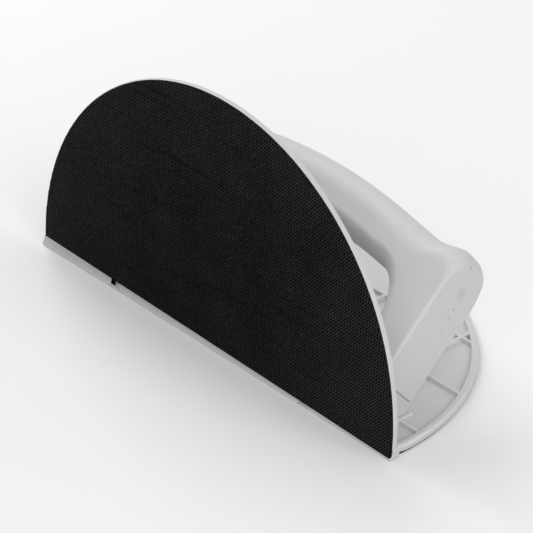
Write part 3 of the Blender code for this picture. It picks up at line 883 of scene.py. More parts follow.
@dataclass
class Plate:
    """One half-disc plate: floor, rounded rim, crossing ribs, bracket seats and its lengths of the nose."""

    side: Side
    arc_centre: float
    owns_middle: bool
    flare: float = 0.0
    rim_width: float = 0.0035
    edge_rounding: float = 0.0005
    back_rounding: float = 0.0013
    inner_rounding: float = 0.0010
    fillet: float = 0.0004
    edge_place: float = 0.0053
    rib_width: float = 0.0014
    rib_draft: float = 0.00015
    rib_rounding: float = 0.0003
    rib_drop: float = 0.0002
    cross_drop: float = 0.00006
    rib_count: int = 3
    first_rib: float = 0.0210
    rib_pitch: float = 0.0343
    cross_count: int = 4
    cross_pitch: float = 0.0462
    cross_start: float = 0.0057
    seat_start: float = 0.0815
    seat_end: float = 0.0986
    seat_length: float = 0.0285
    notch_place: float = 0.06176
    notch_width: float = 0.0030
    notch_rounding: float = 0.0040
    nose_overhang: float = 0.0008
    nose_end_rounding: float = 0.0011
    nose_end_share: float = 0.08
    cap_share: float = 0.88
    cap_lap: float = 0.0001
    cap_gap: float = 0.0002
    nose_slope: float = 0.0030
    nose_hook: float = 0.0050
    nose_root: float = 0.0070
    root_step: float = 0.0003
    nose_tip: float = 0.0005
    beak_start: float = 160.0
    beak_end: float = 290.0
    beak_steps: int = 10
    nose_steps: int = 8
    screw_hole: float = 0.0018
    screw_sink: float = 0.0032
    sink_depth: float = 0.0026
    screw_spots: tuple[Point, ...] = ()
    smooth_angle: float = 32.0

    def outline(self) -> Outline:
        """Gives the rim's path from the right end of the corner edge round to the left end.

        Returns:
            Points of the path, each with the direction that points inward there.
        """
        insets = (CORNER.inset, 0.0 if self.flare else CORNER.inset)
        disc = HalfDisc(CORNER.radius, (0.0, self.arc_centre), insets, self.flare)
        return disc.sides(self.edge_place, self.edge_place)

    def rim_section(self) -> list[Point]:
        """Gives the rim's section as (inset, depth) points, from the outer face round to the floor."""
        low, top, floor, width = CORNER.pad_depth, CORNER.rim_depth, CORNER.floor_depth, self.rim_width
        outer, back, inner, fillet = self.edge_rounding, self.back_rounding, self.inner_rounding, self.fillet
        corners = (
            ((outer, low + outer), outer, 270, 180, 4),
            ((back, top - back), back, 180, 90, 6),
            ((width - inner, top - inner), inner, 90, 0, 5),
            ((width + fillet, floor + fillet), fillet, 180, 270, 4),
        )
        return [point for corner in corners for point in arc(*corner)]

    def drills(self, *holes: Place) -> Piece:
        """Makes a tool that cuts round holes at every screw of the plate.

        Args:
            holes: Radius, start and end depth of each hole that one screw has.

        Returns:
            The tool.
        """
        shape = bmesh.new()
        for along, place in self.screw_spots:
            for radius, start, end in holes:
                middle = Vector((along, place, (start + end) / 2))
                drill(shape, radius, end - start, Matrix.Translation(middle))
        return new_piece("drills", shape)

    def tray(self) -> Piece:
        """Makes the floor and its rim as one closed body, drilled for the plate screws."""
        shape = bmesh.new()
        section = self.rim_section()
        rows = []
        for (across, place), (inward_x, inward_y) in self.outline():
            spots = [(across + inset * inward_x, place + inset * inward_y, depth) for inset, depth in section]
            rows.append([shape.verts.new(spot) for spot in spots])
        bridged(shape, rows, closed=False)
        shape.faces.new([row[0] for row in rows])
        shape.faces.new([row[-1] for row in reversed(rows)])
        shape.faces.new(list(reversed(rows[0])) + rows[-1])
        tray = new_piece("tray", shape)
        return cut(tray, self.drills((self.screw_sink, CORNER.pad_depth / 2, CORNER.rim_depth)))

    def seats(self) -> Piece:
        """Makes the two raised blocks that the leg brackets stand on, each with its two screw holes."""
        shape = bmesh.new()
        for side in (-1, 1):
            ends = sorted((side * self.seat_start, side * self.seat_end))
            low = (ends[0], self.cross_start, CORNER.floor_depth - self.rib_drop)
            rounded_box(shape, low, (ends[1], self.seat_length, CORNER.rim_depth), self.rib_rounding)
        seats = new_piece("seats", shape)
        sink = (self.screw_sink, 0.0, self.sink_depth)
        hole = (self.screw_hole, 0.0, 2 * CORNER.rim_depth)
        return cut(seats, self.drills(sink, hole), overlapping=True)

    def rib_bar(self) -> Piece:
        """Makes a rib of unit length along x, drafted and rounded along its top."""
        low, high = CORNER.floor_depth - self.rib_drop, CORNER.rim_depth - self.rib_drop
        half, top = self.rib_width / 2 + self.rib_draft, self.rib_width / 2
        rounding = self.rib_rounding
        section = [(-half, low), (half, low)]
        section += arc((top - rounding, high - rounding), rounding, 0, 90, EDGE_STEPS)
        section += arc((rounding - top, high - rounding), rounding, 90, 180, EDGE_STEPS)
        shape = bmesh.new()
        loft(shape, [[Vector((end, place, depth)) for place, depth in section] for end in (-0.5, 0.5)])
        return new_piece("rib_bar", shape)

    @staticmethod
    def laid(wiring: Wiring, body: Socket, line: Socket, length: Socket, turn: float) -> Socket:
        """Lays a bar on each point of a line.

        Args:
            wiring: The ribs' tree.
            body: The bar of unit length.
            line: The points.
            length: The length of each bar.
            turn: Turn of the bars about the depth.

        Returns:
            The bars.
        """
        stretch = wiring.spot(X=length, Y=1.0, Z=1.0)
        bars = wiring.node("GeometryNodeInstanceOnPoints", Points=line, Instance=body, Scale=stretch)
        bars.inputs["Rotation"].default_value = (0, 0, turn)
        return bars.outputs[0]

    def ribs(self) -> Piece:
        """Lays the ribs: some along the corner and some across, each as long as the disc is wide there."""
        bar = self.rib_bar()
        pattern = Pattern("ribs")
        wiring, value = pattern.wiring, pattern.wiring.value
        at = pattern.inputs({
            "Bar": bar,
            "Reach": CORNER.radius - self.rim_width / 2,
            "Arc Centre": self.arc_centre,
            "Cross Start": self.cross_start,
            "Rib Count": self.rib_count,
            "First Rib": self.first_rib,
            "Rib Pitch": self.rib_pitch,
            "Cross Count": self.cross_count,
            "Cross Pitch": self.cross_pitch,
            "Cross Drop": -self.cross_drop,
        })
        body = wiring.node("GeometryNodeObjectInfo", Object=at["Bar"]).outputs["Geometry"]
        index = wiring.node("GeometryNodeInputIndex").outputs[0]

        place = value("MULTIPLY_ADD", index, at["Rib Pitch"], at["First Rib"])
        half = wiring.leg(at["Reach"], value("SUBTRACT", place, at["Arc Centre"]))
        line = wiring.points(at["Rib Count"], wiring.spot(Y=place))
        along = self.laid(wiring, body, line, value("MULTIPLY", half, 2), 0.0)

        middle = value("MULTIPLY", value("SUBTRACT", at["Cross Count"], 1), 0.5)
        across = value("MULTIPLY", value("SUBTRACT", index, middle), at["Cross Pitch"])
        rise = wiring.leg(at["Reach"], across)
        length = value("SUBTRACT", value("ADD", at["Arc Centre"], rise), at["Cross Start"])
        height = value("MULTIPLY_ADD", length, 0.5, at["Cross Start"])
        line = wiring.points(at["Cross Count"], wiring.spot(X=across, Y=height, Z=at["Cross Drop"]))
        crossing = self.laid(wiring, body, line, length, QUARTER)

        both = wiring.node("GeometryNodeJoinGeometry")
        for part in (along, crossing):
            wiring.tree.links.new(part, both.inputs[0])
        pattern.close(both.outputs[0], PLATE_FINISH.material())
        ribs = pattern.bake()
        bpy.data.objects.remove(bar, do_unlink=True)
        return ribs

    def beak(self) -> list[Point]:
        """Gives the rounded tip of the nose's section (place, depth)."""
        centre = (self.nose_tip, self.nose_tip)
        return arc(centre, self.nose_tip, self.beak_start, self.beak_end, self.beak_steps)

    def nose_section(self) -> list[Point]:
        """Gives the nose bar's section (place, depth): a beak outside the corner and a hook behind it."""
        hook = CORNER.slab_depth - self.rib_drop
        root = CORNER.pad_depth + self.root_step
        section = self.beak()
        section += [(self.nose_slope, CORNER.pad_depth), (self.edge_place, root), (self.nose_root, root)]
        section += [(self.nose_root, hook), (hook, hook), (hook, self.nose_hook)]
        section += [(CORNER.pad_depth, self.nose_hook), (CORNER.pad_depth, self.nose_slope)]
        return section

    def cap_section(self) -> list[Point]:
        """Gives the section (place, depth) of the nose's ends, which close the corner between the rims."""
        side, rim = self.edge_place + self.cap_lap, CORNER.rim_depth - self.cap_lap
        top, root = self.edge_place - self.cap_gap, CORNER.pad_depth + self.root_step
        section = self.beak()
        section += [(self.nose_slope, CORNER.pad_depth), (side, root), (side, rim), (rim, top)]
        return section + [(root, top), (CORNER.pad_depth, self.nose_slope)]

    def nose_bar(self, section: list[Point], span: Point, rounding: Point, share: float) -> Piece:
        """Makes one length of the nose bar, drawn in towards its root at its rounded ends.

        Args:
            section: Its section as (place, depth) points.
            span: Where it starts and ends along the corner.
            rounding: Length of the rounding at each end, or 0 for a plain end.
            share: How large its rounded ends are against the section.

        Returns:
            The bar, laid out flat.
        """
        stations = []
        for sign, spot, length in zip((1, -1), span, rounding):
            found = [(spot, 1.0)]
            if length:
                angles = [QUARTER * index / self.nose_steps for index in range(self.nose_steps + 1)]
                found = [(spot + sign * length * (1 - math.cos(angle)), math.sin(angle)) for angle in angles]
            stations += found[::sign]
        root = CORNER.slab_depth
        rings = []
        for along, swell in stations:
            size = blend(share, 1, swell)
            drawn = [[root + (value - root) * size for value in spot] for spot in section]
            rings.append([Vector((along, *spot)) for spot in drawn])
        shape = bmesh.new()
        loft(shape, rings)
        return new_piece("nose_bar", shape)

    def nose(self) -> list[Piece]:
        """Makes the lengths of the nose bar that belong to this plate, and the caps at its ends."""
        soft, share = self.notch_rounding, self.nose_end_share
        if self.owns_middle:
            half = self.notch_place - self.notch_width / 2
            return [self.nose_bar(self.nose_section(), (-half, half), (soft, soft), share)]
        start = self.notch_place + self.notch_width / 2
        cap = CORNER.radius - CORNER.inset - self.rim_width
        end = CORNER.radius + self.nose_overhang
        close = self.nose_end_rounding
        bars = []
        for mirrored in (False, True):
            bar = self.nose_bar(self.nose_section(), (start, cap + close), (soft, close), share)
            block = self.nose_bar(self.cap_section(), (cap, end), (0.0, close), self.cap_share)
            for piece in (bar, block):
                if mirrored:
                    piece.data.transform(Matrix.Diagonal((-1, 1, 1, 1)))
                    piece.data.flip_normals()
                bars.append(piece)
        return bars

    def build(self) -> Piece:
        """Makes the whole plate and puts it in its place."""
        node = f"{self.side.word}_plate"
        plate = joined(node + "_moulding", [self.tray(), self.seats(), self.ribs(), *self.nose()])
        plate.data.transform(CORNER.placing(self.side))
        smooth(plate, self.smooth_angle)
        return dressed(plate, PLATE_FINISH, Slot.PLATE, node)


@dataclass
class Lattice:
    """Nodes that stand lobes on a pad's lattice, each a little different, and trim them at the pad's edge.

    What at holds are the tree's inputs, by their names.
    """

    wiring: Wiring
    at: dict[str, Socket]
    nudge: float = 0.00005
    lift: float = 0.00003
    swing: float = 0.07
    least_swell: Place = (0.93, 0.88, 1.0)
    most_swell: Place = (1.05, 1.10, 1.0)
    tint_share: float = 0.50
    # How much lighter the lobes get towards the rim and at the lower left end: wear and a painted sheen
    rim_share: float = 0.60
    rim_power: float = 4.0
    end_span: Point = (-0.030, -0.090)
    low_span: Point = (0.010, 0.070)
    along: Socket = field(init=False)
    place: Socket = field(init=False)
    depth: Socket = field(init=False)
    draw: Socket = field(init=False)
    off_along: Socket = field(init=False)
    off_place: Socket = field(init=False)
    distance: Socket = field(init=False)

    def __post_init__(self) -> None:
        """Measures where a point lies in the half disc, with the flare taken out."""
        at, value = self.at, self.wiring.value
        position = self.wiring.node("GeometryNodeInputPosition").outputs[0]
        self.along, self.place, self.depth = self.wiring.split(position)
        height = value("DIVIDE", self.place, at["Flare Height"])
        share = value("MAXIMUM", 0.0, value("SUBTRACT", 1.0, height))
        flare = value("MULTIPLY", at["Flare"], value("LESS_THAN", self.along, 0.0))
        self.draw = value("MULTIPLY", value("POWER", share, at["Flare Power"]), flare)
        self.off_along = value("SUBTRACT", value("ADD", self.along, self.draw), at["Centre Along"])
        self.off_place = value("SUBTRACT", self.place, at["Centre Up"])
        square = value("MULTIPLY", self.off_along, self.off_along)
        self.distance = value("SQRT", value("MULTIPLY_ADD", self.off_place, self.off_place, square))

    def edge(self, start: Socket) -> Socket:
        """Gives the place of the skewed edge by the corner, from its place in the middle."""
        return self.wiring.value("MULTIPLY_ADD", self.along, self.at["Skew"], start)

    def cells(self) -> Socket:
        """Gives a point in every cell of the lattice that lies inside the half disc."""
        at, value = self.at, self.wiring.value
        index = self.wiring.node("GeometryNodeInputIndex").outputs[0]
        middle = value("MULTIPLY", value("SUBTRACT", at["Columns"], 1), 0.5)
        column = value("SUBTRACT", value("MODULO", index, at["Columns"]), middle)
        row = value("FLOOR", value("DIVIDE", index, at["Columns"]))
        across = value("MULTIPLY", value("ADD", column, at["Shift Along"]), at["Pitch Along"])
        up = value("MULTIPLY", value("ADD", row, at["Shift Up"]), at["Pitch Up"])
        total = value("MULTIPLY", at["Columns"], at["Rows"])
        points = self.wiring.points(total, self.wiring.spot(X=across, Y=up))
        beyond = value("GREATER_THAN", self.distance, at["Reach"])
        below = value("LESS_THAN", self.place, self.edge(at["Edge"]))
        outside = value("MAXIMUM", beyond, below)
        return self.wiring.node("GeometryNodeDeleteGeometry", Geometry=points, Selection=outside).outputs[0]

    def lobes(self) -> Socket:
        """Stands a lobe in every cell, each a little off in its place, turn and size."""
        wiring, seed = self.wiring, self.at["Seed"]
        body = wiring.node("GeometryNodeObjectInfo", Object=self.at["Lobe"]).outputs["Geometry"]
        wobble = wiring.random(seed, (-self.nudge, -self.nudge, 0.0), (self.nudge, self.nudge, self.lift))
        moved = wiring.node("GeometryNodeSetPosition", Geometry=self.cells(), Offset=wobble).outputs[0]
        swing = wiring.random(seed, -self.swing, self.swing)
        facing = wiring.spot(Z=wiring.value("ADD", self.at["Lean"], swing))
        swell = wiring.random(wiring.value("ADD", seed, 1), self.least_swell, self.most_swell)
        turns = {"Rotation": facing, "Scale": swell}
        return wiring.node("GeometryNodeInstanceOnPoints", Points=moved, Instance=body, **turns).outputs[0]

    def shaded(self) -> Socket:
        """Stores each lobe's tone: its own tint, lighter towards the rim and at the lower left end from wear
        and a painted sheen.
        """
        wiring, value = self.wiring, self.wiring.value
        tint = wiring.random(value("ADD", self.at["Seed"], 2), 0.0, 1.0)
        outward = value("POWER", value("DIVIDE", self.distance, self.at["Reach"]), self.rim_power)
        left = wiring.ramp(self.along, self.end_span)
        rub_and_sheen_mask = value("MULTIPLY", left, wiring.ramp(self.place, self.low_span, 1.0, 0.0))
        wear_and_sheen = value("MULTIPLY_ADD", rub_and_sheen_mask, self.at["Rub"], value("MULTIPLY", outward, self.rim_share))
        shade = value("MULTIPLY_ADD", tint, self.tint_share, wear_and_sheen)
        storing = {"data_type": "FLOAT", "domain": "INSTANCE"}
        stored = {"Geometry": self.lobes(), "Name": "hook_shade", "Value": shade}
        return wiring.node("GeometryNodeStoreNamedAttribute", storing, **stored).outputs[0]

    def trimmed(self) -> Socket:
        """Realizes the lobes and pulls what stands past the pad's edge back to it."""
        at, value = self.at, self.wiring.value
        real = self.wiring.node("GeometryNodeRealizeInstances", Geometry=self.shaded()).outputs[0]
        pull = value("MINIMUM", 1.0, value("DIVIDE", at["Trim Reach"], self.distance))
        across = value("SUBTRACT", value("MULTIPLY_ADD", self.off_along, pull, at["Centre Along"]), self.draw)
        pulled = value("MULTIPLY_ADD", self.off_place, pull, at["Centre Up"])
        up = value("MAXIMUM", pulled, self.edge(at["Trim Edge"]))
        ended = self.wiring.spot(X=across, Y=up, Z=self.depth)
        return self.wiring.node("GeometryNodeSetPosition", Geometry=real, Position=ended).outputs[0]


@dataclass
class HookPad:
    """One hook pad: a thin woven ground cut to the half disc, under slanting nylon threads and bridges."""

    side: Side
    edge: float
    skew: float
    lean: float
    disc: HalfDisc
    # How much wear and a painted sheen lighten the lobes at the lower left end
    rub: float = 0.0
    # Tabs of the dark ground that fill the nose bar's notches: a dark sheet that stands for the shade inside
    # them
    tabs: tuple[float, ...] = ()
    tab_half: float = 0.0015
    tab_end: float = 0.0020
    tab_slant: float = -0.0004
    face_depth: float = 0.0002
    edge_depth: float = 0.0004
    back_depth: float = 0.0008
    slope_gap: float = 0.00004
    least_edge: float = 0.00006
    edge_slope: float = 0.0002
    corner_rounding: float = 0.0015
    corner_steps: int = 8
    edge_steps: int = 40
    pitch_along: float = 0.00151
    pitch_up: float = 0.00169
    thread_length: float = 0.00252
    thread_width: float = 0.00062
    bridge_length: float = 0.00146
    bridge_width: float = 0.00090
    thread_top: float = 0.00001
    bridge_top: float = 0.00007
    lobe_sink: float = 0.00006
    margin: float = 0.0001
    trim_inset: float = 0.00012
    seed: int = 7
    lobe_outline: tuple[Point, ...] = (
        (1.0, 0.0), (0.72, 0.86), (-0.72, 0.86), (-1.0, 0.0), (-0.72, -0.86), (0.72, -0.86)
    )
    crown_length: float = 0.86
    crown_width: float = 0.5
    smooth_angle: float = 40.0

    def edge_at(self, along: float) -> float:
        """Gives the place of the pad's edge by the corner."""
        return self.edge + self.skew * along

    def outline(self) -> Outline:
        """Gives the pad's outline from its lower right corner round the arc and back along the corner.

        Returns:
            Points of the outline, each with the direction that points inward there.
        """
        rounding = self.corner_rounding
        sides = self.disc.sides(self.edge, self.edge)
        right, left = sides[0][0][0] - rounding, sides[-1][0][0] + rounding
        step = (right - left) / self.edge_steps
        found = self.corner(right, -90, 0) + sides[1:-1] + self.corner(left, 180, 270)
        for index in range(1, self.edge_steps):
            along = blend(left, right, index / self.edge_steps)
            found.append(((along, self.edge_at(along)), (0.0, 1.0)))
            for tab in self.tabs:
                if along < tab < along + step:
                    found += self.tab(tab)
        return found

    def corner(self, along: float, first: float, last: float) -> Outline:
        """Gives a rounded lower corner of the outline.

        Args:
            along: Place along of the rounding's centre.
            first: Angle of its first point, in degrees.
            last: Angle of its last point.

        Returns:
            Its points, each with the direction that points inward there.
        """
        centre = (along, self.edge_at(along) + self.corner_rounding)
        spots = arc(centre, self.corner_rounding, first, last, self.corner_steps)
        turns = arc((0.0, 0.0), -1.0, first, last, self.corner_steps)
        return list(zip(spots, turns))

    def tab(self, middle: float) -> Outline:
        """Gives the outline of a tab that fills a notch of the nose bar, its dark ground standing in for the
        shade in the notch.
        """
        wide, narrow = self.tab_half + self.tab_slant, self.tab_half
        spots = [(middle - wide, self.edge_at(middle - wide)), (middle - narrow, self.tab_end)]
        spots += [(middle + narrow, self.tab_end), (middle + wide, self.edge_at(middle + wide))]
        return [(spot, (0.0, 1.0)) for spot in spots]

    def ground(self) -> Piece:
        """Makes the woven ground, thinned at its back where it laps over the slope of the nose bar."""
        rise = CORNER.pad_depth / Plate.nose_slope
        front, edge, back = [], [], []
        for (along, place), (inward_x, inward_y) in self.outline():
            low = min(self.back_depth, place * rise - self.slope_gap)
            outer = Vector((along, place, 0))
            inner = outer + self.edge_slope * Vector((inward_x, inward_y, 0))
            front.append(inner + Vector((0, 0, self.face_depth)))
            edge.append(outer + Vector((0, 0, min(self.edge_depth, low - self.least_edge))))
            back.append(outer + Vector((0, 0, low)))
        shape = bmesh.new()
        side = shape.faces.layers.float.new("pad_side")
        rows = [[shape.verts.new(spot) for spot in ring] for ring in (front, edge, back)]
        for face in bridged(shape, rows):
            face[side] = 1.0
        for row in (rows[0], rows[-1]):
            rim = [line for line in shape.edges if all(end in row for end in line.verts)]
            bmesh.ops.triangle_fill(shape, use_beauty=True, edges=rim)
        return new_piece("ground", shape)

    def lobe(self, length: float, width: float, top: float) -> Piece:
        """Makes one low rounded lobe of nylon along x.

        Args:
            length: Its length at the foot.
            width: Its width at the foot.
            top: Depth of its crown.

        Returns:
            The lobe.
        """
        foot = self.face_depth + self.lobe_sink
        shape = bmesh.new()
        rings = []
        for depth, long_share, wide_share in ((foot, 1.0, 1.0), (top, self.crown_length, self.crown_width)):
            long, wide = long_share * length / 2, wide_share * width / 2
            rings.append([Vector((x * long, y * wide, depth)) for x, y in self.lobe_outline])
        loft(shape, rings)
        return new_piece("lobe", shape)

    def rows(self, name: str, lobe: Piece, shift: Point, finish: Finish) -> Piece:
        """Sets one kind of lobe on the ground's lattice, each a little different, trimmed at the edge.

        Args:
            name: Name of the piece.
            lobe: The lobe, which is removed.
            shift: Where the lobe stands in its cell of the lattice, as shares of the two pitches.
            finish: The lobes' finish.

        Returns:
            All the lobes as one piece, laid out flat.
        """
        disc = self.disc
        pattern = Pattern(name)
        at = pattern.inputs({
            "Lobe": lobe,
            "Pitch Along": self.pitch_along,
            "Pitch Up": self.pitch_up,
            "Shift Along": shift[0],
            "Shift Up": shift[1],
            "Columns": 2 * int(CORNER.radius / self.pitch_along) + 3,
            "Rows": int((disc.radius + disc.centre[1]) / self.pitch_up) + 1,
            "Reach": disc.radius - self.margin,
            "Trim Reach": disc.radius - self.trim_inset,
            "Centre Along": disc.centre[0],
            "Centre Up": disc.centre[1],
            "Flare": disc.flare,
            "Flare Height": disc.flare_height,
            "Flare Power": disc.flare_power,
            "Edge": self.edge + self.margin,
            "Trim Edge": self.edge + self.trim_inset,
            "Skew": self.skew,
            "Lean": self.lean,
            "Rub": self.rub,
            "Seed": self.seed,
        })
        pattern.close(Lattice(pattern.wiring, at).trimmed(), finish.material())
        lobes = pattern.bake()
        bpy.data.objects.remove(lobe, do_unlink=True)
        return lobes

    def build(self) -> list[Piece]:
        """Makes the ground, the threads and the bridges, and puts them in their place."""
        node = f"{self.side.word}_hook_pad"
        placing = CORNER.placing(self.side)
        ground = self.ground()
        ground.name = node + "_ground"
        ground.data.transform(placing)
        smooth(ground, self.smooth_angle)
        pieces = [dressed(ground, GROUND_FINISH, Slot.HOOK, node)]
        thread = self.lobe(self.thread_length, self.thread_width, self.thread_top)
        bridge = self.lobe(self.bridge_length, self.bridge_width, self.bridge_top)
        for kind, lobe, shift, finish in (
            ("threads", thread, (0.0, 0.0), THREAD_FINISH),
            ("bridges", bridge, (0.0, 0.5), BRIDGE_FINISH),
        ):
            lobes = self.rows(node + "_" + kind, lobe, shift, finish)
            lobes.data.transform(placing)
            lobes.data.shade_smooth()
            pieces.append(dressed(lobes, finish, Slot.HOOK))
        return pieces


@dataclass(frozen=True)
class Station:
    """One cross-section of the handle: its outer and inner contour points and what shape it has there."""

    outer: Point
    inner: Point
    leg_share: float
    corner: float
    inset: float = 0.0


@dataclass
class Handle:
    """The hollow bridge handle: two shells that meet in the plane halfway between the plates."""

    crest: float = 0.0981
    arch_radius: float = 0.2830
    thickness: float = 0.0241
    half_width: float = 0.0145
    grip_end: float = 0.0520
    horn_lift: float = 0.0054
    horn_start: float = 0.0750
    horn_peak: float = 0.0985
    horn_overhang: float = 0.0002
    horn_rounding: float = 0.0072
    leg_end: float = 0.0971
    leg_zone: float = 0.0500
    leg_half_width: float = 0.0151
    leg_inner_half_width: float = 0.0122
    foot_height: float = 0.02578
    foot_inner: float = 0.0832
    turn_start: float = 0.0585
    opening_corner: Point = (0.0732, 0.0670)
    turn_end: float = 0.0770
    turn_end_height: float = 0.0440
    grip_radius: float = 0.0105
    horn_radius: float = 0.0125
    horn_share: float = 0.44
    ridge_share: float = 0.74
    under_radius: float = 0.0112
    under_crease: float = 25.0
    ridge_radius: float = 0.0022
    inner_radius: float = 0.0050
    hollow_power: float = 2.2
    wall: float = 0.0026
    least_radius: float = 0.0008
    seam_half: float = 0.00002
    seam_rounding: float = 0.00006
    grip_steps: int = 26
    turn_steps: int = 84
    leg_steps: int = 12
    foot_rounding: float = 0.0010
    foot_steps: int = 5
    round_steps: int = 9
    side_steps: int = 7
    screw_hole: float = 0.0018
    screw_sink: float = 0.0032
    screw_seat: float = 0.0088
    boss_radius: float = 0.0045
    boss_end: float = 0.0122
    boss_steps: int = 32
    drill_length: float = 0.0080
    drill_lift: float = 0.001
    tongue_half: float = 0.0075
    screw_spots: tuple[Point, ...] = (
        (-0.0895, 0.0400), (-0.0800, 0.0770), (0.0895, 0.0400), (0.0800, 0.0770)
    )
    path_samples: int = 240
    seam_steps: int = 3
    smooth_angle: float = 38.0

    def arch(self, along: float) -> float:
        """Gives the height of the grip's top: an arch that runs on straight past the grip."""
        bent = min(along, self.grip_end)
        return self.crest - bent * (2 * along - bent) / (2 * self.arch_radius)

    def outer_turn(self) -> list[Point]:
        """Gives the outside of the handle from the grip over the horn and down the leg's end face."""
        samples = self.path_samples
        shoulder = self.leg_end + self.horn_overhang - self.horn_rounding
        path = []
        for index in range(samples + 1):
            along = blend(self.grip_end, shoulder, index / samples)
            rise = self.horn_lift * eased((along - self.horn_start) / (self.horn_peak - self.horn_start))
            path.append((along, self.arch(along) + rise))
        centre = path[-1][1] - self.horn_rounding
        path += arc((shoulder, centre), self.horn_rounding, 90, 0, samples // 2)[1:]
        return path + [(self.leg_end, self.leg_zone)]

    def inner_turn(self) -> list[Point]:
        """Gives the rounded upper corner of the hand opening."""
        first = (self.turn_start, self.arch(self.turn_start) - self.thickness)
        last = (self.turn_end, self.turn_end_height)
        path = []
        for index in range(self.path_samples + 1):
            share = index / self.path_samples
            before = [blend(a, b, share) for a, b in zip(first, self.opening_corner)]
            after = [blend(a, b, share) for a, b in zip(self.opening_corner, last)]
            path.append(tuple(blend(a, b, share) for a, b in zip(before, after)))
        return path

    @staticmethod
    def even(path: Sequence[Point], steps: int) -> list[Point]:
        """Splits a path into equal lengths.

        Args:
            path: Its points.
            steps: Number of lengths.

        Returns:
            The steps + 1 points.
        """
        lengths = [0.0]
        for before, after in zip(path, path[1:]):
            lengths.append(lengths[-1] + math.dist(before, after))
        points = []
        index = 0
        for step in range(steps + 1):
            wanted = lengths[-1] * step / steps
            while index < len(path) - 2 and lengths[index + 1] < wanted:
                index += 1
            share = min(1.0, (wanted - lengths[index]) / (lengths[index + 1] - lengths[index]))
            points.append(tuple(blend(a, b, share) for a, b in zip(path[index], path[index + 1])))
        return points

    def stations(self) -> list[Station]:
        """Gives the stations from the grip's middle to a foot, whose end is rounded."""
        found = []
        for index in range(self.grip_steps):
            share = index / self.grip_steps
            outer, inner = self.grip_end * share, self.turn_start * share
            spots = (outer, self.arch(outer)), (inner, self.arch(inner) - self.thickness)
            found.append(Station(*spots, leg_share=0.0, corner=self.grip_radius))
        outer_turn = self.even(self.outer_turn(), self.turn_steps)
        inner_turn = self.even(self.inner_turn(), self.turn_steps)
        for index, (outer, inner) in enumerate(zip(outer_turn, inner_turn)):
            share = index / self.turn_steps
            found.append(Station(outer, inner, eased(share), self.corner_radius(share)))
        straight = self.leg_zone - self.foot_height - self.foot_rounding
        falls = [(straight * index / self.leg_steps, 0.0) for index in range(1, self.leg_steps + 1)]
        straight = falls[-1][0]
        for index in range(1, self.foot_steps + 1):
            angle = QUARTER * index / self.foot_steps
            drop = self.foot_rounding * math.sin(angle)
            falls.append((straight + drop, self.foot_rounding * (1 - math.cos(angle))))
        for fall, inset in falls:
            share = fall / (self.leg_zone - self.foot_height)
            height = blend(self.turn_end_height, self.foot_height, share)
            outer = (self.leg_end, blend(self.leg_zone, self.foot_height, share))
            inner = (blend(self.turn_end, self.foot_inner, share), height)
            found.append(Station(outer, inner, 1.0, self.ridge_radius, inset))
        return found

    def corner_radius(self, share: float) -> float:
        """Gives the radius of the outer corners: round over the horn and a ridge down the leg."""
        if share < self.horn_share:
            return blend(self.grip_radius, self.horn_radius, eased(share / self.horn_share))
        fall = eased((share - self.horn_share) / (self.ridge_share - self.horn_share))
        return blend(self.horn_radius, self.ridge_radius, fall)

    def profile(self, thickness: float, leg_share: float, corner: float, inset: float) -> list[Point]:
        """Gives one half of the section, from the outer contour round to the inner one.

        Args:
            thickness: Distance between the contours.
            leg_share: How far the section has the leg's shape.
            corner: Radius of the outer corner.
            inset: Distance inside the outer skin.

        Returns:
            Points (across, up).
        """
        outer_half = blend(self.half_width, self.leg_half_width, leg_share) - inset
        inner_half = blend(self.half_width, self.leg_inner_half_width, leg_share) - inset
        outer_radius = max(corner - inset, self.least_radius)
        inner_radius = max(blend(self.under_radius, self.inner_radius, leg_share) - inset, self.least_radius)
        crease = blend(self.under_crease, 0.0, leg_share)
        bent = math.radians(crease)
        round_start = inner_radius * (1 - math.sin(bent))
        round_middle = outer_half - inner_radius * math.cos(bent)
        depth = thickness - 2 * inset
        seam, soft = self.seam_half, self.seam_rounding
        shoulder = (outer_half - outer_radius, depth - outer_radius)
        points = arc((seam + soft, depth - soft), soft, 180, 90, self.seam_steps)
        points += arc(shoulder, outer_radius, 90, 0, self.round_steps)
        for index in range(1, self.side_steps):
            points.append((outer_half, blend(depth - outer_radius, round_start, index / self.side_steps)))
        points += arc((round_middle, inner_radius), inner_radius, -crease, -90, self.round_steps)
        points += arc((seam + soft, soft), soft, -90, -180, self.seam_steps)
        shaped = []
        for across, up in points:
            narrowed = blend(inner_half, outer_half, max(0.0, up / depth) ** self.hollow_power)
            width = across if across <= seam + soft + MERGE else across * narrowed / outer_half
            shaped.append((width, up + inset))
        return shaped

    def ring(self, station: Station, end: int, side: Side) -> list[Vector]:
        """Gives the closed section of one shell's wall at a station.

        Args:
            station: One of the handle's stations.
            end: -1 for the left half and 1 for the right half.
            side: Which shell.

        Returns:
            Its points in the row frame.
        """
        outer, inner = station.outer, station.inner
        thickness = math.dist(outer, inner)
        skin = self.profile(thickness, station.leg_share, station.corner, station.inset)
        cavity = self.profile(thickness, station.leg_share, station.corner, self.wall)
        points = []
        for across, up in skin + cavity[::-1]:
            along = end * blend(inner[0], outer[0], up / thickness)
            height = blend(inner[1], outer[1], up / thickness)
            lift = side.value * across
            place = ROOT_HALF * (height + lift) - CORNER.footprint_middle
            points.append(Vector((along, place, ROOT_HALF * (height - lift))))
        return points

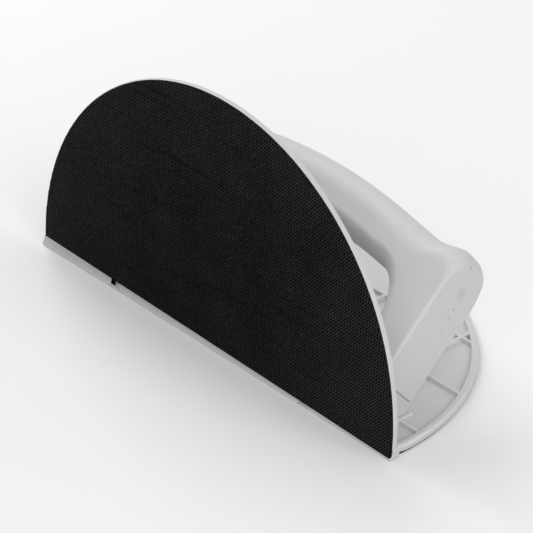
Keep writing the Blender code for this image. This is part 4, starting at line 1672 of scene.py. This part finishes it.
    def bosses(self, side: Side) -> Piece:
        """Makes the bosses of one shell, which stop at the bracket's tongue inside the legs.

        Args:
            side: Which shell: the base shell's bosses have a seat for the screw's head.

        Returns:
            The bosses.
        """
        shape = bmesh.new()
        high, seat = side.value * self.boss_end, side.value * self.screw_seat
        for along, height in self.screw_spots:
            low = side.value * (self.tongue_half if height < self.leg_zone else self.seam_half)
            profile = [(self.boss_radius, low), (self.boss_radius, high)]
            if side is Side.BASE:
                profile += [(self.screw_sink, high), (self.screw_sink, seat), (self.screw_hole, seat)]
            else:
                profile += [(self.screw_hole, high), (self.screw_hole, seat)]
            profile.append((self.screw_hole, low))
            turned(shape, profile, self.boss_steps, CORNER.halfway(along, height))
        return new_piece("bosses", shape)

    def sinks(self) -> Piece:
        """Makes the tool that opens the base shell's skin for the screw heads."""
        shape = bmesh.new()
        middle = (self.screw_seat + self.leg_half_width) / 2 + self.drill_lift
        for along, height in self.screw_spots:
            placing = CORNER.halfway(along, height) @ Matrix.Translation(Vector((0, 0, middle)))
            drill(shape, self.screw_sink, self.drill_length, placing, self.boss_steps)
        return new_piece("drills", shape)

    def shell(self, side: Side) -> Piece:
        """Makes one shell with its screw bosses, the base shell with sinks for the screw heads.

        Args:
            side: Which shell.

        Returns:
            The finished shell.
        """
        half = self.stations()
        rings = [self.ring(station, -1, side) for station in reversed(half[1:])]
        rings += [self.ring(station, 1, side) for station in half]
        shape = bmesh.new()
        loft(shape, rings)
        parts = [new_piece("skin", shape), self.bosses(side)]
        if side is Side.BASE:
            cut(parts[0], self.sinks())
        node = f"handle_{side.word}_shell"
        shell = smooth(joined(node + "_skin", parts), self.smooth_angle)
        return dressed(shell, HANDLE_FINISH, Slot.HANDLE, node)

    def build(self) -> list[Piece]:
        """Makes both shells."""
        return [self.shell(Side.BASE), self.shell(Side.FRONT)]


@dataclass
class LegBrackets:
    """The two wedges in the corner that carry the legs: the frame's own solids with their edges eased."""

    rounding: float = 0.0004
    flat_angle: float = 1.0
    eased_angle: float = 40.0
    smooth_angle: float = 35.0
    nodes: tuple[str, ...] = ("left_leg_bracket", "right_leg_bracket")

    def bracket(self, node: str) -> Piece:
        """Makes one bracket from a merged copy of its CAD node.

        Args:
            node: Name of the node.

        Returns:
            The finished bracket.
        """
        shape = bmesh.new()
        shape.from_mesh(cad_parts[node].data)
        bmesh.ops.remove_doubles(shape, verts=shape.verts, dist=MERGE)
        flat = math.radians(self.flat_angle)
        bmesh.ops.dissolve_limit(shape, angle_limit=flat, verts=shape.verts, edges=shape.edges)
        piece = new_piece(node + "_casting", shape)
        piece.data.materials.clear()
        easing = piece.modifiers.new("eased_edges", "BEVEL")
        easing.width = self.rounding
        easing.segments = EDGE_STEPS
        easing.limit_method = "ANGLE"
        easing.angle_limit = math.radians(self.eased_angle)
        settled(piece)
        smooth(piece, self.smooth_angle)
        return dressed(piece, BRACKET_FINISH, Slot.BRACKET, node)

    def build(self) -> list[Piece]:
        """Makes both brackets."""
        return [self.bracket(node) for node in self.nodes]


@dataclass
class Screws:
    """The twelve screws keep their CAD shape and get their metal."""

    finish: Finish = STEEL_FINISH

    def dress(self) -> None:
        """Gives every screw the zinc finish."""
        for name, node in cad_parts.items():
            if "screw" in name:
                node.data.materials.clear()
                node.data.materials.append(self.finish.material())
                log.info("%s: CAD shape in zinc", name)


@dataclass
class Lamp:
    """One soft square lamp that looks at a target."""

    name: str
    place: Place
    power: float
    size: float = 1.2
    target: Place = (0.0, 0.0, 0.05)

    def build(self) -> Piece:
        """Makes the lamp."""
        light = bpy.data.lights.new(self.name, "AREA")
        light.shape = "SQUARE"
        light.size = self.size
        light.energy = self.power
        lamp = linked(self.name, light)
        lamp.location = self.place
        sight = Vector(self.target) - Vector(self.place)
        lamp.rotation_euler = sight.to_track_quat("-Z", "Y").to_euler()
        return lamp


@dataclass
class Studio:
    """Pale floor, soft light and the camera at the photograph's angle."""

    camera_place: Place = (0.58568, -0.60462, 0.49741)
    camera_turn: Place = (1.0509, -0.0503, 0.8201)
    lens: float = 146.04
    sensor: float = 36.0
    nearest: float = 0.05
    farthest: float = 20.0
    fill: float = 0.38
    backdrop: Colour = (0.86, 0.86, 0.85)
    floor_radius: float = 4.0
    floor_steps: int = 96
    lamps: tuple[Lamp, ...] = (
        Lamp("right", (1.6, -0.3, 0.5), 4.8),
        Lamp("high_right", (1.1, 0.0, 1.2), 8.1),
        Lamp("high_left", (-1.2, 0.2, 1.0), 14.5),
        Lamp("low_front", (0.9, -1.1, 0.3), 7.0),
    )

    def floor(self) -> None:
        """Lays the floor as a wide disc of paper."""
        shape = bmesh.new()
        steps, radius = self.floor_steps, self.floor_radius
        bmesh.ops.create_circle(shape, cap_ends=True, segments=steps, radius=radius)
        floor = new_piece("studio_floor", shape, outward=False)
        if floor.data.polygons[0].normal.z < 0:
            floor.data.flip_normals()
        floor.data.materials.append(FLOOR_FINISH.material())

    def world(self) -> None:
        """Lights the room evenly, and shows a pale backdrop to the camera and in reflections."""
        world = bpy.data.worlds.new("studio")
        bpy.context.scene.world = world
        world.use_nodes = True
        wiring = Wiring(world.node_tree)
        soft = world.node_tree.nodes["Background"]
        wiring.fill(soft, Color=(1, 1, 1, 1), Strength=self.fill)
        seen = wiring.node("ShaderNodeBackground", Color=(*self.backdrop, 1), Strength=1.0)
        mixed = wiring.node("ShaderNodeMixShader")
        sources = (wiring.seen_rays(), soft.outputs[0], seen.outputs[0])
        for socket, source in zip(mixed.inputs, sources):
            wiring.feed(socket, source)
        wiring.feed(world.node_tree.nodes["World Output"].inputs["Surface"], mixed.outputs[0])

    def camera(self) -> None:
        """Sets the camera up as the photograph was taken."""
        lens = bpy.data.cameras.new("photo_camera")
        lens.sensor_width = self.sensor
        lens.lens = self.lens
        lens.clip_start = self.nearest
        lens.clip_end = self.farthest
        camera = linked("photo_camera", lens)
        camera.location = self.camera_place
        camera.rotation_euler = self.camera_turn
        bpy.context.scene.camera = camera

    def build(self) -> None:
        """Makes the whole studio."""
        self.camera()
        self.floor()
        self.world()
        for lamp in self.lamps:
            lamp.build()
        bpy.context.scene.view_settings.view_transform = "Standard"
        log.info("studio: floor, backdrop, %d lamps and the camera", len(self.lamps))


def plate_screws(inner: float, outer: float) -> tuple[Point, ...]:
    """Gives the spots of a plate's screws: two nearer the middle and two outer ones, left and right."""
    pair = ((INNER_SCREWS, inner), (OUTER_SCREWS, outer))
    return tuple((side * along, place) for side in (-1, 1) for along, place in pair)


def main() -> None:
    """Builds the studio and every piece of the sanding block."""
    logging.basicConfig(level=logging.INFO, format="%(name)s: %(message)s")
    Studio().build()
    screws = plate_screws(inner=0.0120, outer=0.0205)
    Plate(Side.BASE, arc_centre=0.0108, owns_middle=False, screw_spots=screws).build()
    screws = plate_screws(inner=0.0205, outer=0.0120)
    Plate(Side.FRONT, arc_centre=0.0069, owns_middle=True, flare=0.0007, screw_spots=screws).build()
    diagonal = math.atan2(HookPad.pitch_up, HookPad.pitch_along)
    disc = HalfDisc(radius=0.1119, centre=(0.0, 0.0108))
    HookPad(Side.BASE, edge=0.0056, skew=0.0, lean=diagonal, disc=disc).build()
    disc = HalfDisc(radius=0.1119, centre=(-0.0006, 0.0075), flare=0.0008)
    # The front pad's tabs fill the notches with dark ground as painted shade
    notches = (-Plate.notch_place, Plate.notch_place)
    lean = math.pi - diagonal
    # The front pad's lower left end is lighter, from wear and a painted sheen
    HookPad(Side.FRONT, edge=0.0033, skew=0.0206, lean=lean, disc=disc, rub=0.60, tabs=notches).build()
    Handle().build()
    LegBrackets().build()
    Screws().dress()


if __name__ == "__main__":
    main()
